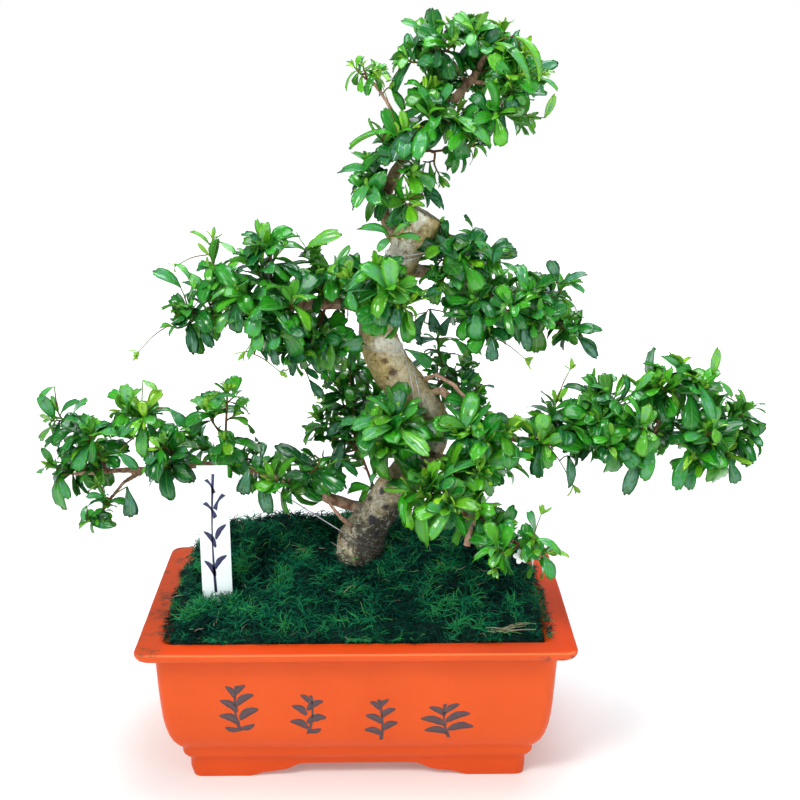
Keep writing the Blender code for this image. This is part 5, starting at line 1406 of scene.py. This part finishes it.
for number, (shoot, tips, size, young, *bare_ends) in enumerate(SHOOTS):
    draw = Random(LEAF_SEED + number)
    node = "spray_" + shoot
    seat, normal = seat_on_bark(node)
    tips = [Vector(tip) for tip in tips]
    middle = sum(tips, Vector()) / len(tips)
    fork = seat.lerp(middle, 0.42) + Vector((0.0, 0.0, 0.05 * (middle - seat).length))
    stems, leaves = [], []
    for order, tip in enumerate(tips):
        main = order == 0
        heading = ((tip - fork).normalized() + Vector((0.0, -0.1, 0.45))).normalized()
        neck = tip - heading * min(9.0, 0.7 * (tip - fork).length)
        start = [seat - normal * 1.0, seat + normal * 1.5, fork] if main else [fork]
        path = smooth_path(start + [neck, tip])
        stems.append((path, 1.25 if main else 0.95, 0.6, 0.1 if main else 0.4, 0.95))
        youth = young + draw.choice((0.0, 0.0, 0.10))
        leafy(draw, leaves, path, 0.45 if main else 0.25, size, youth, 9)
        if draw.random() < 0.5:
            bud(draw, leaves, tip, heading, draw.randint(4, 7), draw.uniform(6.0, 9.5))
        reach = sum((b - a).length for a, b in zip(path, path[1:]))
        spurs = max(1, round(reach / SPUR_SPACING))
        for spur in range(spurs):
            at = int((0.20 + 0.62 * (spur + 0.5) / spurs) * (len(path) - 1))
            base = path[at]
            ahead = (path[min(len(path) - 1, at + 1)] - base).normalized()
            outward = Matrix.Rotation(draw.uniform(0.0, 2.0 * pi), 3, ahead) @ ahead.orthogonal().normalized()
            spur_heading = (outward + 0.5 * ahead + Vector((0.0, -0.25, 0.35))).normalized()
            end = base + spur_heading * draw.uniform(4.0, 10.0)
            spur_path = [base, base.lerp(end, 0.5) + ahead * 0.8, end]
            stems.append((spur_path, 0.7, 0.5, 0.5, 1.0))
            leafy(draw, leaves, spur_path, 0.1, size * draw.uniform(0.72, 0.95),
                  young + draw.choice((0.0, 0.0, 0.15)), 6)
    for end in bare_ends:
        end = Vector(end)
        root = min((stem[0][-1] for stem in stems), key=lambda point: (point - end).length)
        path = smooth_path([root, root.lerp(end, 0.5) + Vector((0.0, 0.0, 2.0)), end])
        stems.append((path, 0.5, 0.4, 0.6, 1.0))
        bud(draw, leaves, end, (end - root).normalized(), 6, 8.0)
    for root, tip, model, tone in LONE_LEAVES.get(shoot, ()):
        root, tip = Vector(root), Vector(tip)
        near = [point for stem in stems for point in stem[0]] + [wood_tree.find_nearest(root)[0]]
        start = min(near, key=lambda point: (point - root).length)
        if (root - start).length > 1.0:
            stems.append(([start, start.lerp(root, 0.5) + Vector((0.0, 0.0, 0.8)), root], 0.6, 0.5, 0.5, 1.0))
        upper = Vector((draw.uniform(-0.35, 0.25), -0.5, 0.8))
        leaves.append((model, leaf_between(model, root, tip, upper), tone, 0.5))
    piece = many_copies("leaves_" + shoot, leaf_models, leaves, (leaf_finish, under_finish))
    twigs = stem_mesh("twigs", stems)
    twigs.data.materials.append(twig_finish)
    joined(piece, twigs).data.transform(PLACE)
    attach(piece, "root")
    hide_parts(node)


# The white flower is one small open bloom at the front branch's tip: five thin petals and five pale stamens on a
# stalk that widens to a green cup behind them.
FLOWER_AT = Vector((110.0, -90.0, 176.0))
FLOWER_FACING = Vector((0.1, -0.8, 0.6)).normalized()
PETALS = 5
PETAL_ROOT = 0.4
PETAL_LENGTH = 4.8
PETAL_HALF = 2.0
PETAL_THICK = 0.18
STAMEN_AHEAD, STAMEN_ASIDE = 2.6, 1.1
petal_model = fresh(bpy.ops.mesh.primitive_grid_add, x_subdivisions=5, y_subdivisions=4, size=2.0)
for vertex in petal_model.data.vertices:
    share = (vertex.co.x + 1.0) / 2.0
    half = PETAL_HALF * sin(pi * min(1.0, 0.12 + 0.8 * share)) ** 0.7
    rise = 0.9 * share - 1.2 * share ** 3 + 0.25 * vertex.co.y ** 2
    vertex.co = (PETAL_ROOT + PETAL_LENGTH * share, vertex.co.y * half, rise)
apply_modifier(petal_model, "SOLIDIFY", thickness=PETAL_THICK, offset=0.0)
stalk = smooth_path([seat_on_bark("white_flower")[0], FLOWER_AT - FLOWER_FACING * 5.0,
                     FLOWER_AT - FLOWER_FACING * 0.3])
petals, stalks = [], [(stalk, 0.6, 0.9, 0.9, 1.0)]
for number in range(PETALS):
    turn = 2 * pi * number / PETALS
    away = square_to(FLOWER_FACING, turn + 0.2)
    petals.append((0, blade_place(FLOWER_AT, away, FLOWER_FACING, 1.0), 0.0, 0.2 * number))
    lean = FLOWER_FACING * STAMEN_AHEAD + square_to(FLOWER_FACING, turn + 0.8) * STAMEN_ASIDE
    stalks.append(([FLOWER_AT, FLOWER_AT + lean * 0.5, FLOWER_AT + lean], 0.16, 0.3, 1.0, 1.0))
petal_finish, shader, place = new_material("white petal")
coat(shader, base_color=spots(place, 900.0, 2.0).mix((0.78, 0.78, 0.72), (0.92, 0.92, 0.90)), roughness=0.6)
flower = many_copies("flower_petals", [copy_out(petal_model)], petals, (petal_finish,))
cup = stem_mesh("cup", stalks)
cup.data.materials.append(twig_finish)
joined(flower, cup).data.transform(PLACE)
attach(flower, "root")
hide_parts("white_flower")


# The ties are thin galvanised wires, wound once or twice round the trunk with their ends left free, and a long guy
# runs from the trunk's base to the lower left branch. The middle and bend ties are drawn along the bark, and the
# others are the model's own solids made round.
WIRE_RADIUS = 0.40
WIRE_LIFT = 0.45
WIRE_SWELL = 0.1
OUTSIDE = 40.0
RUSTY_RIGHT_OF = (-0.056, -0.044)
RUSTY_BELOW = (0.160, 0.175)
# The middle tie: its loose ends, its centre's x and y, its level, how it tilts, and its angles in degrees
MIDDLE_TIE_ENDS = (((-24, -21, 307), (-9, -19, 306)), ((-10, -14, 309), (-22, -17, 312)))
MIDDLE_TIE_CENTRE = (15.5, 10.7)
MIDDLE_TIE_LEVEL = 300.3
MIDDLE_TIE_TILT = (-2.2, 3.2)
MIDDLE_TIE_ANGLES = range(-165, 176, 20)
# The bend tie goes down the wood's slope: its angles in degrees, its first x and how far along x it goes, its tilt,
# the sum of its centre's x and z, and the two steps of its loose end
BEND_TIE_ANGLES = range(0, 701, 25)
BEND_TIE_START = 35.0
BEND_TIE_WAY = 9.0
BEND_TIE_TILT = 3.5
BEND_TIE_SUM = 303.0
BEND_TIE_END = ((4.0, -2.0, 3.5), (10.0, -3.0, 8.0))

steel, shader, place = new_material("dull galvanised wire")
spangle = spots(place, 1400.0, 3.0)
rust = part(place, "X").step(*RUSTY_RIGHT_OF) * (1.0 - part(place, "Z").step(*RUSTY_BELOW))
zinc = layered(spangle.mix((0.46, 0.47, 0.50), (0.78, 0.79, 0.81)), (rust, 0.92, (0.042, 0.034, 0.027)))
coat(shader, base_color=zinc, metallic=0.6 - rust * 0.5, roughness=0.32 + spangle * 0.22)


def on_bark(middle, away):
    """The point just outside the bark from a point in the wood."""
    return wood_tree.ray_cast(middle + away * OUTSIDE, -away)[0] + away * WIRE_LIFT


middle_turn = [Vector(point) for point in MIDDLE_TIE_ENDS[0]]
for degrees in MIDDLE_TIE_ANGLES:
    angle = radians(degrees)
    level = MIDDLE_TIE_LEVEL + MIDDLE_TIE_TILT[0] * cos(angle) + MIDDLE_TIE_TILT[1] * sin(angle)
    middle_turn.append(on_bark(Vector((*MIDDLE_TIE_CENTRE, level)), Vector((cos(angle), sin(angle), 0.0))))
middle_turn += [Vector(point) for point in MIDDLE_TIE_ENDS[1]]
bend_turn = []
for degrees in BEND_TIE_ANGLES:
    angle = radians(degrees)
    along_wood = BEND_TIE_START + BEND_TIE_WAY * degrees / BEND_TIE_ANGLES[-1]
    away = Vector((0.0, -sin(angle), cos(angle)))
    middle = Vector((along_wood + BEND_TIE_TILT * sin(angle), 1.0, BEND_TIE_SUM - along_wood))
    bend_turn.append(on_bark(middle, away))
bend_turn += [bend_turn[-1] + Vector(offset) for offset in BEND_TIE_END]
for node, turns in (("middle_tie_wire", middle_turn), ("bend_tie_wire", bend_turn), ("upper_tie_wire", ()),
                    ("guy_wire", ())):
    name = node.replace("_wire", "_round")
    if turns:
        wire = stem_mesh(name, [(smooth_path(turns, 3), WIRE_RADIUS, WIRE_RADIUS, 0.0, 0.0)])
    else:
        wire = copy_of_node(node, name, quads=True)
        apply_modifier(wire, "SUBSURF", levels=2, render_levels=2)
        apply_modifier(wire, "DISPLACE", strength=WIRE_SWELL, mid_level=0.0)
        wire.data.shade_smooth()
    wire.data.transform(PLACE)
    wire.data.materials.append(steel)
    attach(wire, "root")
    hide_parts(node)


# The plant label is a strip of stiff white plastic pushed through the moss, its foot cut to a blunt point. Its face
# carries a small leafy sprig drawn with a blue-grey pen.
LABEL_FOOT = (-98.8, -45.4, 98.5)
LABEL_LEAN = radians(-0.4)
LABEL_SIZE = (21.2, 1.1, 128.0)
LABEL_CUTS = (-46.0, -20.0, 0.0, 20.0, 40.0)
LABEL_FOOT_SHARE = 0.5
LABEL_BEVEL = 0.25
# Each stroke on the label: start across and up, end across and up, widest half width and bow
LABEL_SPRIG = (
    (-1.0, 34.0, 0.5, 122.0, 1.0, 1.6), (-1.0, 46.0, -8.0, 58.0, 1.9, -1.6), (-0.6, 52.0, 7.6, 62.0, 1.9, 1.6),
    (0.2, 68.0, -7.6, 80.0, 1.8, -1.6), (0.6, 74.0, 8.0, 85.0, 1.8, 1.4), (0.9, 90.0, -6.4, 101.0, 1.6, -1.4),
    (0.9, 96.0, 7.4, 107.0, 1.6, 1.2), (0.6, 108.0, -4.6, 118.0, 1.3, -1.0),
)
label_place = Matrix.Translation(LABEL_FOOT) @ Matrix.Rotation(LABEL_LEAN, 4, "Y")

label = fresh(bpy.ops.mesh.primitive_cube_add, size=1.0)
bpy.ops.object.mode_set(mode="EDIT")
bpy.ops.transform.resize(value=LABEL_SIZE)
slice_up(LABEL_CUTS, (0.0, 0.0, 1.0))
bpy.ops.object.mode_set(mode="OBJECT")
for vertex in label.data.vertices:
    vertex.co.z += LABEL_SIZE[2] / 2
    if vertex.co.z < 1.0:
        vertex.co.x *= LABEL_FOOT_SHARE
apply_modifier(label, "BEVEL", width=LABEL_BEVEL, segments=2, limit_method="ANGLE", angle_limit=radians(40))
label.data.transform(label_place)
bpy.ops.object.shade_smooth_by_angle(angle=radians(35))
put_in_place(label, "label_strip")
plastic, shader, place = new_material("white label plastic")
scratch = spots(stretched(place, 6.0, 1.0, 0.5), 220.0, 2.0)
coat(shader, base_color=spots(place, 30.0).mix((0.80, 0.90, 0.90), (0.86, 0.94, 0.94)),
     roughness=0.30 + scratch.step(0.5, 0.8) * 0.2, normal=bump(scratch, 0.08, 0.0004))
label.data.materials.append(plastic)
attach(label, "root")
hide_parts("plant_label")


def on_label(x, z):
    """The point on the label's face at x across and z up, lifted by the ink."""
    return label_place @ Vector((x, -LABEL_SIZE[1] / 2 - STROKE_LIFT, z))


drawing = brush_skin("label_drawing", LABEL_SPRIG, on_label)
ink, shader, place = new_material("dark blue marker ink")
worn_ink = spots(place, 500.0, 3.0).step(0.55, 0.8)
coat(shader, base_color=(worn_ink * 0.4).mix((0.022, 0.022, 0.085), (0.10, 0.11, 0.24)),
     roughness=0.45 + worn_ink * 0.2)
drawing.data.materials.append(ink)
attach(drawing, "root")

bpy.context.view_layer.update()
